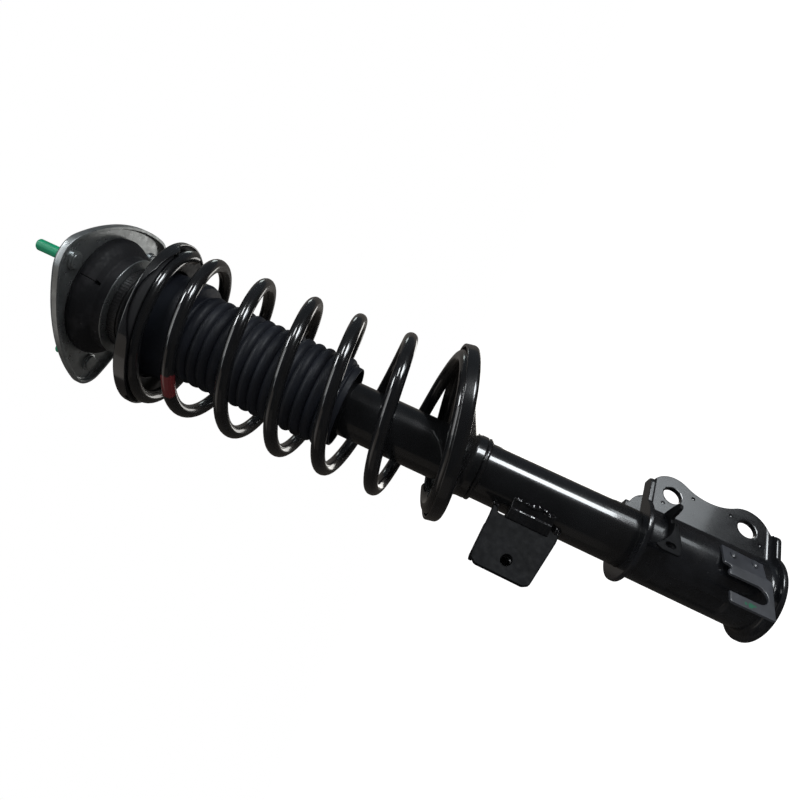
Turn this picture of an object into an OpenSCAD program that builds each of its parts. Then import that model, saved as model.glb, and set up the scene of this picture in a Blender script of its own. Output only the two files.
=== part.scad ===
// Front suspension strut with coil spring, top mount and knuckle bracket.
// Axis along Z, origin on the top face of the mount plate, sizes in mm.

/* [Tube and rod] */
// outside diameter of the strut tube
tube_d = 51; // [45:0.5:60]
// wall of the strut tube
tube_wall = 2.5; // [2:0.1:3.5]
// depth of the bracket's lower face under the mount face
strut_length = 627.5; // [610:0.5:680]
// depth of the tube's upper end under the mount face
tube_top = 232; // [220:0.5:240]
// diameter of the piston rod
rod_d = 22; // [18:0.5:25]
// bore of the pressure tube
piston_bore = 32; // [28:0.5:33]
// travel of the strut in compression
stroke = 150; // [100:1:160]

/* [Knuckle bracket] */
// sheet of the wrap round the tube
wrap_sheet = 4.5; // [3:0.1:6]
// sheet of the two ears
ear_sheet = 5; // [3.5:0.1:6]
// gap between the ears
ear_gap = 32; // [28:0.5:36]
// distance between the two bolt holes
hole_pitch = 63; // [56:0.5:70]
// distance from the tube axis to the bolt holes
hole_offset = 45; // [40:0.5:52]
// diameter of the bolt holes
hole_d = 15; // [12:0.1:17]
// height of the bracket
bracket_h = 109; // [100:0.5:120]

/* [Spring] */
// thickness of the spring wire
wire_d = 12.4; // [10:0.1:13.4]
// mean radius of the coils
coil_r = 68.2; // [66:0.1:69]
// sideways offset of the lower spring seat
seat_offset = 19.2; // [12:0.1:22]
// tilt of the lower spring seat
seat_tilt = 12.5; // [8:0.1:13.5]
// direction of the offset round the axis
seat_clock = -12; // [-30:1:30]

/* [Top mount] */
// radius of the stud circle
stud_circle_r = 70; // [66:0.5:75]
// diameter of the studs
stud_d = 8; // [6:0.5:10]
// length of the studs over the plate
stud_len = 31; // [25:0.5:40]
// turn of the stud pattern against the ears
mount_clock = 8.6; // [-60:0.1:60]
// sheet of the mount plate
plate_sheet = 3; // [2:0.1:4]

/* [Dust boot] */
// radius over the ribs of the boot
boot_r = 42.6; // [40:0.1:45]
// number of ribs
boot_ribs = 15; // [8:1:18]
// wall of the boot
boot_wall = 1.8; // [1.2:0.1:2.5]

/* [Link bracket] */
// diameter of the hole in the link bracket
link_hole_d = 10.6; // [8:0.1:13]
// sheet of the link bracket
link_sheet = 4; // [3:0.1:5]

/* [View] */
// part to draw

/* [Hidden] */
$fn = 96;
// overshoot of the cutting shapes
cut = 1;
// running clearance of sliding fits, per side
slide_gap = 0.05;
// clearance between parts that turn past each other
turn_gap = 0.4;

// tube
tube_r = tube_d / 2;
tube_ri = tube_r - tube_wall;
rod_r = rod_d / 2;
bore_r = piston_bore / 2;
z_bot = -strut_length;
z_top = -tube_top;
// room under the bracket's lower face up to the tube's end
tube_end_lift = 8;
z_end = z_bot + tube_end_lift;
cap_t = 4;
cap_wall = 2;
cap_skirt = 11;
seal_h = 6;
guide_h = 24;
guide_step = 6;
bush_t = 1.45;
ptube_wall = 1.5;
ptube_r = bore_r + ptube_wall;
z_seal = z_top - seal_h;
z_guide = z_seal - guide_h;
z_ptube = z_guide + guide_step;
base_t = 5;
valve_h = 15;
valve_plug = 6;
z_valve = z_end + base_t + valve_h;

// rod and its stack
rod_tip = 26;
thread_r = 7;
sleeve_top = 6;
sleeve_bot = -31;
sleeve_r = 14;
sleeve_gap = 0.1;
washer_t = 3;
washer_r = 20;
nut_h = 12;
nut_af = 22;
cup_t = 2.5;
z_shoulder = sleeve_bot - cup_t;
stopper_skirt_r = 24.5;
stopper_skirt = 12.5;
bump_len = 75;
bump_r = 21.9;
rebound_rest = 0.3;
rebound_h = 8;
rebound_r = 15.2 * piston_bore / 32;
z_piston = z_ptube - 44;
piston_h = 20;
disc_t = 2;
band_t = 1;
band_margin = 4;
spigot_r = 6;
pnut_h = 10;
pnut_af = 19;
rod_end = z_piston - piston_h - disc_t - pnut_h - 4;

// top mount
plate_centre = 64;
plate_corner = 28;
// the sides bulge on arcs that run into the corner arcs
plate_half = 70;
plate_m = plate_half - plate_corner;
plate_p = (plate_centre * plate_centre - plate_m * plate_m) / (2 * plate_m - plate_centre);
plate_side_r = plate_half + plate_p;
plate_meet = atan2(plate_p * sin(60), plate_centre + plate_p * cos(60));
rim_h = 8;
dome_r = 50;
dome_top_r = 40;
dome_h = 9;
dome_hole = 23;
dome_slope = dome_h / (dome_r - dome_top_r);
dome_under_r = dome_r - 1.4;
dome_under_top = dome_under_r - dome_h / dome_slope;
stud_head_r = 6.8;
stud_head_t = 3.2;
// a press-in knurl in the plate, and the thread at its pitch radius
knurl_over = 0.3;
stud_thread_under = 0.4;
sleeve_wall = 1.1;
sleeve_from = 9;
sleeve_over = 1.5;
rubber_r = 58;
rubber_low = -30;
cup_r = 45.5;
cup_wall = 2.5;
cup_top = -22;
cup_hole = 34;
slit_w = 1.2;
slit_turn = -5;
// bearing
z_cup = rubber_low - cup_wall;
race_ri = 28;
race_ro = 39;
ball_r = 2.5;
ball_pitch = 33;
ball_n = 18;
race_h = 5;
race_room = 2.5;
groove_gap = 0.3;
skirt_over = 1.5;
z_ball = z_cup - race_h - race_room / 2;
z_hub = z_cup - 2 * race_h - race_room;
cage_t = 1.7;
cage_half = 2.9;
race_skirt_ri = race_ro - 1.4;
// upper seat
dish_t = 2.5;
hub_ri = 29;
hub_ro = 40.5;
flange_ri = 57;
flange_ro = 76;
flange_bend = 67;
rim_drop = 5;
cone_drop = 19;
z_dish = z_hub - cone_drop;
z_flange = z_dish - dish_t;
boot_flange_t = 2;
boot_flange_r = 60;
ins_ri = 52;
ins_t = 7.2;
// the lip stands round the wire, with room beside it
ins_lip_ri = coil_r + wire_d / 2 + 0.9;
ins_lip_ro = ins_lip_ri + 2.9;
ins_lip = 7;
ins_wrap = 1.5;
ins_lip_turn = 140;
ins_lip_to = 290;
z_coil0 = z_flange - ins_t;
// boot
boot_cup_r = 50;
boot_cup_wall = 2.5;
boot_cup_end = -91.6;
boot_rib_start = -96;
boot_rib_end = -252;
boot_end = -265;
boot_lip_r = 38.5;
rib_depth = 3.2;
rib_pitch = (boot_rib_start - boot_rib_end) / boot_ribs;
// lower seat
seat_rim_r = coil_r + wire_d / 2 + 5.1;
seat_t = 3;
seat_lip = 9;
seat_floor_ri = 58;
seat_z = -345.7;
neck_r = tube_r + seat_t;
seat_n = 72;
seat_bore_r = tube_r / cos(180 / seat_n) + 0.02;
neck_top = -374.5;
neck_low = -384;
weld_h = 5;
weld_t = 3.2;

// knuckle bracket
wrap_r = tube_r + wrap_sheet;
ear_in = ear_gap / 2;
ear_out = ear_in + ear_sheet;
z_br = z_bot + bracket_h;
flange_t = 4;
flange_w = 7.5;
z_h1 = z_bot + bracket_h / 2 + 23.5 * hole_pitch / 63 + 8.5 * hole_pitch / 63;
z_h2 = z_h1 - hole_pitch;
lobe_r = 19;
ear_root = 14;
valley_x = hole_offset + 9.6;
valley_a = valley_x - hole_offset;
valley_r = (valley_a * valley_a + hole_pitch * hole_pitch / 4 - lobe_r * lobe_r)
  / (2 * (lobe_r - valley_a));
fillet_r = 9;
fillet_x = sqrt(pow(wrap_r + fillet_r, 2) - pow(ear_out + fillet_r, 2));
top_flange_x = hole_offset + 5;
low_flange_x = hole_offset + 2;
corner_r = 6;
emboss_depth = 1.5;

// wire bracket
wb_sheet = 2.6;
wb_z = z_bot + 87.5;
wb_face = wrap_r + 6;
wb_hole_x = -14.5;
wb_hole_r = 2.8;
wb_hole_half = 1.5;
// hose bracket
hb_sheet = 2.6;
hb_slot_r = 8;
hb_slot_x = -22;
hb_clock = -72;
hb_left = 9;
hb_right = 8;
hb_end = -39;
hb_y1 = -wrap_r - 11;
hb_top = z_bot + 40.5;
hb_low = z_bot + 10.5;
hb_slot_z = hb_low + 13;

// link bracket
lb_y = -4;
lb_top = -404;
lb_low = -466;
lb_end = -84;
lb_hole_x = -69.7;
lb_hole_z = -431.2;
lb_lip_top = -419.6;
lb_lip_low = -456.5;
lb_flange = 9;
lb_flange_t = 3;
nut_t = 9;
link_nut_af = 17;

// ---------- helpers
module lathe(points) rotate_extrude() polygon(points);

module ring(ro, ri, z0, z1) lathe([[ri, z0], [ro, z0], [ro, z1], [ri, z1]]);

module rod_z(r, z0, z1) translate([0, 0, z0]) cylinder(h = z1 - z0, r = r);

module hex_z(af, z0, z1) translate([0, 0, z0]) cylinder(h = z1 - z0, r = af / sqrt(3), $fn = 6);

module at_studs() for (i = [0:2]) rotate(mount_clock + 120 * i) translate([stud_circle_r, 0, 0])
  children();

// rounded triangle of the mount plate, shrunk by s
module plate_outline(s) polygon([for (i = [0:2]) for (k = [-12:12])
  let (a = mount_clock + 120 * i, side = abs(k) > 6,
    turn = side ? plate_meet + (60 - plate_meet) * (abs(k) - 6) / 6 : plate_meet * abs(k) / 6,
    r = (side ? plate_side_r : plate_corner) - s, w = sign(k) * turn,
    cx = side ? -plate_p * cos(sign(k) * 60) : plate_centre,
    cy = side ? -plate_p * sin(sign(k) * 60) : 0, x = cx + r * cos(w), y = cy + r * sin(w))
  if (k > -12) [x * cos(a) - y * sin(a), x * sin(a) + y * cos(a)]]);

// plate drawn in X and Z, thick along Y from y0 to y1
module xz_plate(y0, y1) translate([0, y1, 0]) rotate([90, 0, 0]) linear_extrude(height = y1 - y0)
  children();

// ---------- top mount
module mount_plate() color("silver") difference() {
  union() {
    translate([0, 0, -rim_h]) linear_extrude(height = rim_h) plate_outline(0);
    lathe([[0, -1], [dome_r + 1 / dome_slope, -1], [dome_top_r, dome_h], [0, dome_h]]);
  }
  translate([0, 0, -rim_h - cut]) linear_extrude(height = rim_h + cut - plate_sheet)
    plate_outline(plate_sheet);
  lathe([[0, -plate_sheet - 1], [dome_under_r + 1 / dome_slope, -plate_sheet - 1],
    [dome_under_top, dome_h - plate_sheet], [0, dome_h - plate_sheet]]);
  rod_z(dome_hole, -cut, dome_h + cut);
  at_studs() rod_z(stud_d / 2 + knurl_over, -plate_sheet - cut, cut);
}

module mount_studs() color("gainsboro") at_studs() lathe([
  [0, -plate_sheet - stud_head_t], [stud_head_r, -plate_sheet - stud_head_t],
  [stud_head_r, -plate_sheet], [stud_d / 2 + knurl_over, -plate_sheet],
  [stud_d / 2 + knurl_over, 0], [stud_d / 2, 0], [stud_d / 2, sleeve_from],
  [stud_d / 2 - stud_thread_under, sleeve_from], [stud_d / 2 - stud_thread_under, stud_len],
  [0, stud_len]]);

module stud_sleeves() color([0.1, 0.7, 0.5]) at_studs() difference() {
  lathe([[0, sleeve_from], [stud_d / 2 + sleeve_wall, sleeve_from],
    [stud_d / 2 + sleeve_wall, stud_len], [stud_d / 2, stud_len + sleeve_over],
    [0, stud_len + sleeve_over]]);
  rod_z(stud_d / 2 - stud_thread_under, sleeve_from - cut, stud_len);
}

module mount_rubber() color([0.12, 0.12, 0.13]) difference() {
  lathe([[sleeve_r, rubber_low], [cup_r - cup_wall, rubber_low], [cup_r - cup_wall, cup_top],
    [46.5, cup_top], [52, -18], [56, -13], [rubber_r, -7.5], [rubber_r - 1.5, -plate_sheet],
    [dome_r - 1.4, -plate_sheet], [dome_top_r - 1.4, dome_h - plate_sheet],
    [dome_hole, dome_h - plate_sheet], [sleeve_r + 3, 4], [sleeve_r, 4]]);
  for (i = [0:2]) rotate(mount_clock + slit_turn + 120 * i)
    translate([cup_r + 1, -slit_w / 2, cup_top - cut])
      cube([rubber_r, slit_w, -cup_top - plate_sheet - 3 + cut]);
}

module mount_cup() color("silver") lathe([[cup_r - cup_wall, cup_top], [cup_r, cup_top],
  [cup_r, rubber_low - cup_wall], [cup_hole, rubber_low - cup_wall], [cup_hole, rubber_low],
  [cup_r - cup_wall, rubber_low]]);

module mount_sleeve() color("silver") ring(sleeve_r, thread_r + sleeve_gap, sleeve_bot, sleeve_top);

module mount_washer() color("silver") ring(washer_r, thread_r + sleeve_gap, sleeve_top,
  sleeve_top + washer_t);

module rod_nut() color("gold") difference() {
  hex_z(nut_af, sleeve_top + washer_t, sleeve_top + washer_t + nut_h);
  rod_z(thread_r, sleeve_top, rod_tip + cut);
}

module upper_race() color([0.1, 0.1, 0.1]) difference() {
  lathe([[race_ri, z_cup], [race_ro, z_cup], [race_ro, z_cup - race_h - race_room - skirt_over],
    [race_skirt_ri, z_cup - race_h - race_room - skirt_over], [race_skirt_ri, z_cup - race_h],
    [race_ri, z_cup - race_h]]);
  rotate_extrude() translate([ball_pitch, z_ball]) circle(r = ball_r + groove_gap);
}

module piston_rod() color("gainsboro") lathe([[0, rod_tip], [thread_r - 1, rod_tip],
  [thread_r, rod_tip - 1], [thread_r, z_shoulder], [rod_r, z_shoulder],
  [rod_r, z_piston + disc_t], [spigot_r, z_piston + disc_t], [spigot_r, rod_end], [0, rod_end]]);

module stopper_cup() color("silver") lathe([[thread_r, z_shoulder], [thread_r, sleeve_bot],
  [stopper_skirt_r, sleeve_bot], [stopper_skirt_r, z_shoulder - stopper_skirt],
  [bump_r, z_shoulder - stopper_skirt], [bump_r, z_shoulder]]);

module bump_stopper() color([0.75, 0.7, 0.5]) lathe([[rod_r, z_shoulder], [bump_r, z_shoulder],
  [bump_r, z_shoulder - 18], [bump_r - 3.5, z_shoulder - 22], [bump_r, z_shoulder - 27],
  [bump_r, z_shoulder - 34], [bump_r - 4, z_shoulder - 38], [bump_r - 1, z_shoulder - 43],
  [bump_r - 1, z_shoulder - 50], [bump_r - 5, z_shoulder - 54], [bump_r - 3, z_shoulder - 59],
  [bump_r - 4, z_shoulder - 68], [bump_r - 7, z_shoulder - bump_len],
  [rod_r, z_shoulder - bump_len]]);

module rebound_stop() color("dimgray") ring(rebound_r, rod_r, z_ptube - rebound_rest - rebound_h,
  z_ptube - rebound_rest);

module piston() color("gray") difference() {
  lathe([[spigot_r, z_piston], [bore_r - 0.6, z_piston], [bore_r - 0.6, z_piston - band_margin],
    [bore_r - slide_gap - band_t, z_piston - band_margin],
    [bore_r - slide_gap - band_t, z_piston - piston_h + band_margin],
    [bore_r - 0.6, z_piston - piston_h + band_margin], [bore_r - 0.6, z_piston - piston_h],
    [spigot_r, z_piston - piston_h]]);
  for (i = [0:5]) rotate(60 * i) translate([(bore_r + spigot_r) / 2, 0, 0])
    rod_z(1.3, z_piston - piston_h - cut, z_piston + cut);
}

module piston_band() color([0.1, 0.3, 0.35]) ring(bore_r - slide_gap,
  bore_r - slide_gap - band_t, z_piston - piston_h + band_margin, z_piston - band_margin);

module piston_valve() color("silver") {
  ring(12.5 * piston_bore / 32, spigot_r, z_piston, z_piston + disc_t);
  ring(12.5 * piston_bore / 32, spigot_r, z_piston - piston_h - disc_t, z_piston - piston_h);
}

module piston_nut() color("gold") difference() {
  hex_z(pnut_af, z_piston - piston_h - disc_t - pnut_h, z_piston - piston_h - disc_t);
  rod_z(spigot_r, rod_end - cut, z_piston);
}

// ---------- swivelling upper seat
module lower_race() color([0.1, 0.1, 0.1]) difference() {
  ring(race_skirt_ri - turn_gap, race_ri, z_hub, z_hub + race_h);
  rotate_extrude() translate([ball_pitch, z_ball]) circle(r = ball_r + groove_gap);
}

module upper_spring_seat() color([0.2, 0.2, 0.2]) lathe([[hub_ri, z_hub], [hub_ro, z_hub],
  [flange_ri, z_dish], [flange_bend, z_dish], [flange_ro, z_dish - rim_drop],
  [flange_ro, z_flange - rim_drop], [flange_bend, z_flange], [flange_ri - 1, z_flange],
  [hub_ro - 1, z_hub - dish_t], [hub_ri, z_hub - dish_t]]);

module spring_insulator() color([0.13, 0.13, 0.13]) difference() {
  lathe([[boot_flange_r, z_flange], [flange_bend, z_flange], [flange_ro, z_flange - rim_drop],
    [flange_ro, z_dish - rim_drop + ins_wrap], [ins_lip_ro, z_dish - rim_drop + ins_wrap],
    [ins_lip_ro, z_coil0 - ins_lip + 1],
    [ins_lip_ro - 1, z_coil0 - ins_lip], [ins_lip_ri, z_coil0 - ins_lip],
    [ins_lip_ri, z_coil0], [ins_ri, z_coil0], [ins_ri, z_flange - boot_flange_t],
    [boot_flange_r, z_flange - boot_flange_t]]);
  rotate([0, 0, ins_lip_to]) rotate_extrude(angle = 360 - ins_lip_turn)
    polygon([[ins_lip_ri - 1, z_coil0 - 1], [ins_lip_ro + 2, z_coil0 - 1],
      [ins_lip_ro + 2, z_coil0 - ins_lip - 1], [ins_lip_ri - 1, z_coil0 - ins_lip - 1]]);
}

// one wall of the boot, inset by s
function boot_side(s) = concat(
  [[boot_flange_r, z_flange], [boot_flange_r, z_flange - boot_flange_t],
   [boot_cup_r, z_flange - boot_flange_t], [boot_cup_r, boot_cup_end + 1.5],
   [boot_cup_r - 1.5, boot_cup_end], [boot_r - rib_depth, boot_cup_end - 1]],
  [for (i = [0:boot_ribs - 1]) for (p = [[0.16, -rib_depth], [0.38, 0], [0.62, 0], [0.84, -rib_depth]])
    [boot_r + p[1], boot_rib_start - rib_pitch * (i + p[0])]],
  [[boot_lip_r, boot_rib_end - 2], [boot_lip_r, boot_end + 1.5], [boot_lip_r - 1, boot_end]]);

function boot_inside() = concat(
  [[boot_lip_r - boot_wall - 1.2, boot_end], [boot_lip_r - boot_wall - 1, boot_rib_end - 1]],
  [for (i = [boot_ribs - 1:-1:0]) for (p = [[0.88, -rib_depth], [0.62, 0], [0.38, 0], [0.12, -rib_depth]])
    [boot_r - boot_wall + p[1], boot_rib_start - rib_pitch * (i + p[0])]],
  [[boot_r - rib_depth - boot_wall, boot_cup_end + 1.2],
   [boot_cup_r - boot_cup_wall, boot_cup_end + 2.2], [boot_cup_r - boot_cup_wall, z_flange]]);

module dust_boot() color([0.16, 0.17, 0.22]) lathe(concat(boot_side(0), boot_inside()));

// height, sideways shift of the coil centre against the turn count from the upper end
function coil_z(t) = lookup(t, [[0, -80.2], [0.25, -80.6], [0.5, -82.5], [0.75, -87.5],
  [1, -96.4], [1.25, -112.2], [1.5, -123.8], [1.75, -132.5], [2, -145], [2.25, -162.2],
  [2.5, -174.6], [2.75, -182.2], [3, -193.4], [3.25, -208.4], [3.5, -220.4], [3.75, -227.8],
  [4, -236.9], [4.25, -250.4], [4.5, -264.6], [4.75, -275], [5, -284.8], [5.25, -298.4],
  [5.5, -312.3], [5.75, -321.5], [6, -331], [6.25, -350]]);
// the first coil hangs from the pad, whatever the wire's thickness
coil_room = 0.3;
coil_top = z_coil0 - coil_room - wire_d / 2;
function coil_zs(t) = coil_top - coil_z(0)
  + (coil_z(t - 0.08) + 2 * coil_z(t) + coil_z(t + 0.08)) / 4;
function coil_shift(t) = lookup(t, [[0, 0], [0.8, 0.6], [2.25, 3.6], [3.25, 6.8], [4.25, 9.8],
  [5.25, 13], [6, 16.4], [6.7, 17.5]]);
coil_start = 0.02;
coil_end = 6.6;
coil_steps = 24;
coil_sides = 8;
coil_phase = -34.5;
coil_lie = 5.85;
coil_blend = 0.3;
seat_room = 0.4;

function coil_free(t, a) = [coil_r * cos(a) + coil_shift(t) * cos(seat_clock),
  coil_r * sin(a) + coil_shift(t) * sin(seat_clock), coil_zs(t)];
// the last coil lies in the tilted dish
function coil_seated(a) = seat_point((coil_r + 0.4) * cos(a - seat_clock),
  (coil_r + 0.4) * sin(a - seat_clock), wire_d / 2 + seat_room - seat_lip);
function coil_weight(t) = let (x = min(1, max(0, (t - coil_lie) / coil_blend))) x * x * (3 - 2 * x);
function coil_point(t) = let (a = coil_phase - 360 * t, w = coil_weight(t))
  coil_free(t, a) * (1 - w) + coil_seated(a) * w;
coil_n = floor((coil_end - coil_start) * coil_steps);
coil_pts = [for (i = [0:coil_n]) coil_point(coil_start + (coil_end - coil_start) * i / coil_n)];

function unit(v) = v / norm(v);
function ring_at(i) = let (
    p = coil_pts[i],
    d = unit(coil_pts[min(i + 1, coil_n)] - coil_pts[max(i - 1, 0)]),
    out = unit([p[0], p[1], 0]),
    up = unit(cross(d, out)),
    side = cross(up, d))
  [for (k = [0:coil_sides - 1]) p + wire_d / 2 * (side * cos(360 * k / coil_sides)
    + up * sin(360 * k / coil_sides))];

module coil_spring() {
  m = coil_sides;
  pts = [for (i = [0:coil_n]) each ring_at(i)];
  faces = concat(
    [for (i = [0:coil_n - 1]) for (k = [0:m - 1]) each [
      [i * m + k, (i + 1) * m + k, (i + 1) * m + (k + 1) % m],
      [i * m + k, (i + 1) * m + (k + 1) % m, i * m + (k + 1) % m]]],
    [for (k = [1:m - 2]) [0, k, k + 1]],
    [for (k = [1:m - 2]) [coil_n * m, coil_n * m + k + 1, coil_n * m + k]]);
  color([0.08, 0.08, 0.09]) polyhedron(points = pts, faces = faces);
}

// least distance between the wire and its own next turns, measured on the centre line
gap_list = [for (i = [0:2:coil_n]) for (j = [i + 10:2:coil_n]) norm(coil_pts[i] - coil_pts[j])];
echo("coil self gap", min(gap_list) - wire_d);

// ---------- bearing cage
module bearing_cage() color([0.8, 0.75, 0.6]) difference() {
  ring(ball_pitch + cage_half, ball_pitch - cage_half, z_ball - cage_t / 2, z_ball + cage_t / 2);
  for (i = [0:ball_n - 1]) rotate(360 * i / ball_n) translate([ball_pitch, 0, 0])
    rod_z(ball_r + slide_gap, z_ball - cage_t, z_ball + cage_t);
}

module bearing_balls() color("gainsboro") for (i = [0:ball_n - 1]) rotate(360 * i / ball_n)
  translate([ball_pitch, 0, z_ball]) sphere(r = ball_r, $fn = 24);

// ---------- strut tube and its inside
module strut_tube() color([0.08, 0.08, 0.09]) ring(tube_r, tube_ri, z_end, z_top);

module tube_cap() color([0.1, 0.1, 0.1]) lathe([[rod_r + 1, z_top], [rod_r + 1, z_top + cap_t],
  [tube_r + cap_wall - 1, z_top + cap_t], [tube_r + cap_wall, z_top + cap_t - 1],
  [tube_r + cap_wall, z_top - cap_skirt], [tube_r, z_top - cap_skirt], [tube_r, z_top]]);

module rod_seal() color([0.15, 0.15, 0.15]) ring(tube_ri, rod_r + slide_gap, z_seal, z_top);

module rod_guide() color("gray") lathe([[rod_r + slide_gap + bush_t, z_seal], [tube_ri, z_seal],
  [tube_ri, z_guide], [ptube_r, z_guide], [ptube_r, z_ptube],
  [rod_r + slide_gap + bush_t, z_ptube]]);

module guide_bush() color([0.6, 0.45, 0.25]) ring(rod_r + slide_gap + bush_t, rod_r + slide_gap,
  z_ptube, z_seal);

module inner_tube() color("silver") ring(ptube_r, bore_r, z_valve, z_ptube);

module base_valve() color("gray") difference() {
  lathe([[0, z_valve + valve_plug], [bore_r, z_valve + valve_plug], [bore_r, z_valve],
    [ptube_r + 2, z_valve], [ptube_r + 2, z_end + base_t], [0, z_end + base_t]]);
  rod_z(3, z_valve - 4, z_valve + valve_plug + cut);
  for (i = [0:3]) rotate(90 * i) translate([0, -3, z_end + base_t - cut])
    cube([ptube_r + 3, 6, 5 + cut]);
}

module base_cup() color([0.08, 0.08, 0.09]) lathe([[0, z_end - 2], [tube_ri - 6, z_end - 2],
  [tube_ri, z_end], [tube_ri, z_end + base_t], [0, z_end + base_t]]);

// ---------- lower spring seat
// point of the tilted dish, given in its own frame
function seat_point(x, y, z) = let (
    x1 = seat_offset + x * cos(seat_tilt) - z * sin(seat_tilt),
    z1 = seat_z + x * sin(seat_tilt) + z * cos(seat_tilt))
  [x1 * cos(seat_clock) - y * sin(seat_clock), x1 * sin(seat_clock) + y * cos(seat_clock), z1];
function dish_ring(r, z) = [for (k = [0:seat_n - 1])
  seat_point(r * cos(360 * k / seat_n), r * sin(360 * k / seat_n), z)];
function neck_ring(r, z) = [for (k = [0:seat_n - 1])
  [r * cos(360 * k / seat_n + seat_clock), r * sin(360 * k / seat_n + seat_clock), z]];

module lower_spring_seat() {
  n = seat_n;
  rings = [neck_ring(neck_r, neck_low), neck_ring(neck_r, neck_top),
    dish_ring(seat_floor_ri + seat_t, -seat_lip - seat_t), dish_ring(seat_rim_r, -seat_lip - seat_t),
    dish_ring(seat_rim_r, 0), dish_ring(seat_rim_r - seat_t, 0),
    dish_ring(seat_rim_r - seat_t, -seat_lip), dish_ring(seat_floor_ri, -seat_lip),
    neck_ring(seat_bore_r, neck_top + seat_t), neck_ring(seat_bore_r, neck_low)];
  m = len(rings);
  pts = [for (r = rings) each r];
  faces = [for (i = [0:m - 1]) for (k = [0:n - 1]) let (
      a = i * n + k,
      b = i * n + (k + 1) % n,
      c = ((i + 1) % m) * n + (k + 1) % n,
      d = ((i + 1) % m) * n + k)
    each [[a, c, b], [a, d, c]]];
  color([0.1, 0.1, 0.11]) polyhedron(points = pts, faces = faces);
}

module seat_weld() color([0.12, 0.12, 0.12]) lathe([[tube_r, neck_low], [tube_r + weld_t, neck_low],
  [tube_r + weld_t, neck_low - weld_h / 2], [tube_r + weld_t / 2, neck_low - weld_h],
  [tube_r, neck_low - weld_h]]);

// ---------- knuckle bracket
module ear_outline() difference() {
  union() {
    for (z = [z_h1, z_h2]) translate([hole_offset, z]) circle(r = lobe_r);
    translate([ear_root, z_bot]) square([hole_offset + 3 - ear_root, bracket_h]);
    translate([ear_root, z_h2]) square([valley_x + 4 - ear_root, hole_pitch]);
  }
  translate([valley_x + valley_r, (z_h1 + z_h2) / 2]) circle(r = valley_r);
  translate([hole_offset, z_h1]) circle(r = hole_d / 2);
  translate([hole_offset, z_h2]) circle(r = hole_d / 2);
}

// outline of the wrap with its fillets to the ears, not hollow
module wrap_outline() difference() {
  union() {
    circle(r = wrap_r);
    translate([0, -ear_out]) square([fillet_x, 2 * ear_out]);
    for (s = [-1, 1]) polygon([[fillet_x, s * ear_out],
      [fillet_x * wrap_r / (wrap_r + fillet_r),
       s * (ear_out + fillet_r) * wrap_r / (wrap_r + fillet_r)],
      [fillet_x - 8, s * (ear_out - 1)]]);
  }
  for (s = [-1, 1]) translate([fillet_x, s * (ear_out + fillet_r)]) circle(r = fillet_r);
}

module wrap_section() difference() {
  wrap_outline();
  circle(r = tube_r);
  translate([0, -ear_in]) square([wrap_r + cut, ear_gap]);
}

// turned flange of a bracket end, reaching to x
module end_flange(x) difference() {
  union() {
    circle(r = wrap_r + flange_w);
    translate([0, -ear_out - flange_w]) square([x - corner_r, 2 * (ear_out + flange_w)]);
    translate([0, -ear_out - flange_w + corner_r])
      square([x, 2 * (ear_out + flange_w - corner_r)]);
    for (s = [-1, 1]) translate([x - corner_r, s * (ear_out + flange_w - corner_r)])
      circle(r = corner_r);
  }
  circle(r = tube_r);
  translate([0, -ear_in]) square([x + cut, ear_gap]);
}

module knuckle_bracket() color([0.25, 0.26, 0.28]) difference() {
  union() {
    translate([0, 0, z_bot]) linear_extrude(height = bracket_h) wrap_section();
    for (s = [-1, 1]) xz_plate(s > 0 ? ear_in : -ear_out, s > 0 ? ear_out : -ear_in) ear_outline();
    translate([0, 0, z_br - flange_t]) linear_extrude(height = flange_t) end_flange(top_flange_x);
    translate([0, 0, z_bot]) linear_extrude(height = flange_t) end_flange(low_flange_x);
  }
  rotate([0, 0, 180]) rotate_extrude(angle = 30) polygon([[wrap_r - emboss_depth, z_bot + 31],
    [wrap_r + cut, z_bot + 31], [wrap_r + cut, z_br - 22], [wrap_r - emboss_depth, z_br - 24]]);
  rod_z(tube_r, z_bot - cut, z_br + cut);
}

// ---------- small brackets
module wire_bracket() color([0.2, 0.2, 0.22]) difference() {
  union() {
    translate([0, 0, wb_z]) linear_extrude(height = wb_sheet) difference() {
      polygon([[-8, -wrap_r + 4], [-8, -wb_face - wb_sheet], [11, -wb_face - wb_sheet],
        [13, -wb_face - 6], [13.5, -wb_face - 14], [16.5, -wb_face - 17], [20.5, -wb_face - 15],
        [18.5, -ear_out + 1]]);
      translate([7, -wb_face - 5.5]) circle(r = 6);
    }
    xz_plate(-wb_face - wb_sheet, -wb_face) difference() {
      polygon([[-21, wb_z + 10], [-21, wb_z - 7], [-18, wb_z - 9.5], [-5, wb_z - 9.5],
        [-2, wb_z - 6], [3, wb_z - 1], [3, wb_z + wb_sheet], [-2, wb_z + wb_sheet],
        [-10, wb_z + 10]]);
      translate([-7, wb_z + 12]) circle(r = 10.5);
      for (d = [-1, 1]) translate([wb_hole_x, wb_z + d * wb_hole_half]) circle(r = wb_hole_r);
      translate([wb_hole_x - wb_hole_r, wb_z - wb_hole_half])
        square([2 * wb_hole_r, 2 * wb_hole_half]);
    }
  }
  translate([0, 0, z_bot]) linear_extrude(height = bracket_h) wrap_outline();
  translate([0, -ear_out, z_bot]) cube([2 * hole_offset, ear_sheet, bracket_h]);
}

// point out from the axis and across, in the direction of the hose bracket's foot
function hb_at(out, across) = [out * cos(hb_clock) - across * sin(hb_clock),
  out * sin(hb_clock) + across * cos(hb_clock)];

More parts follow.
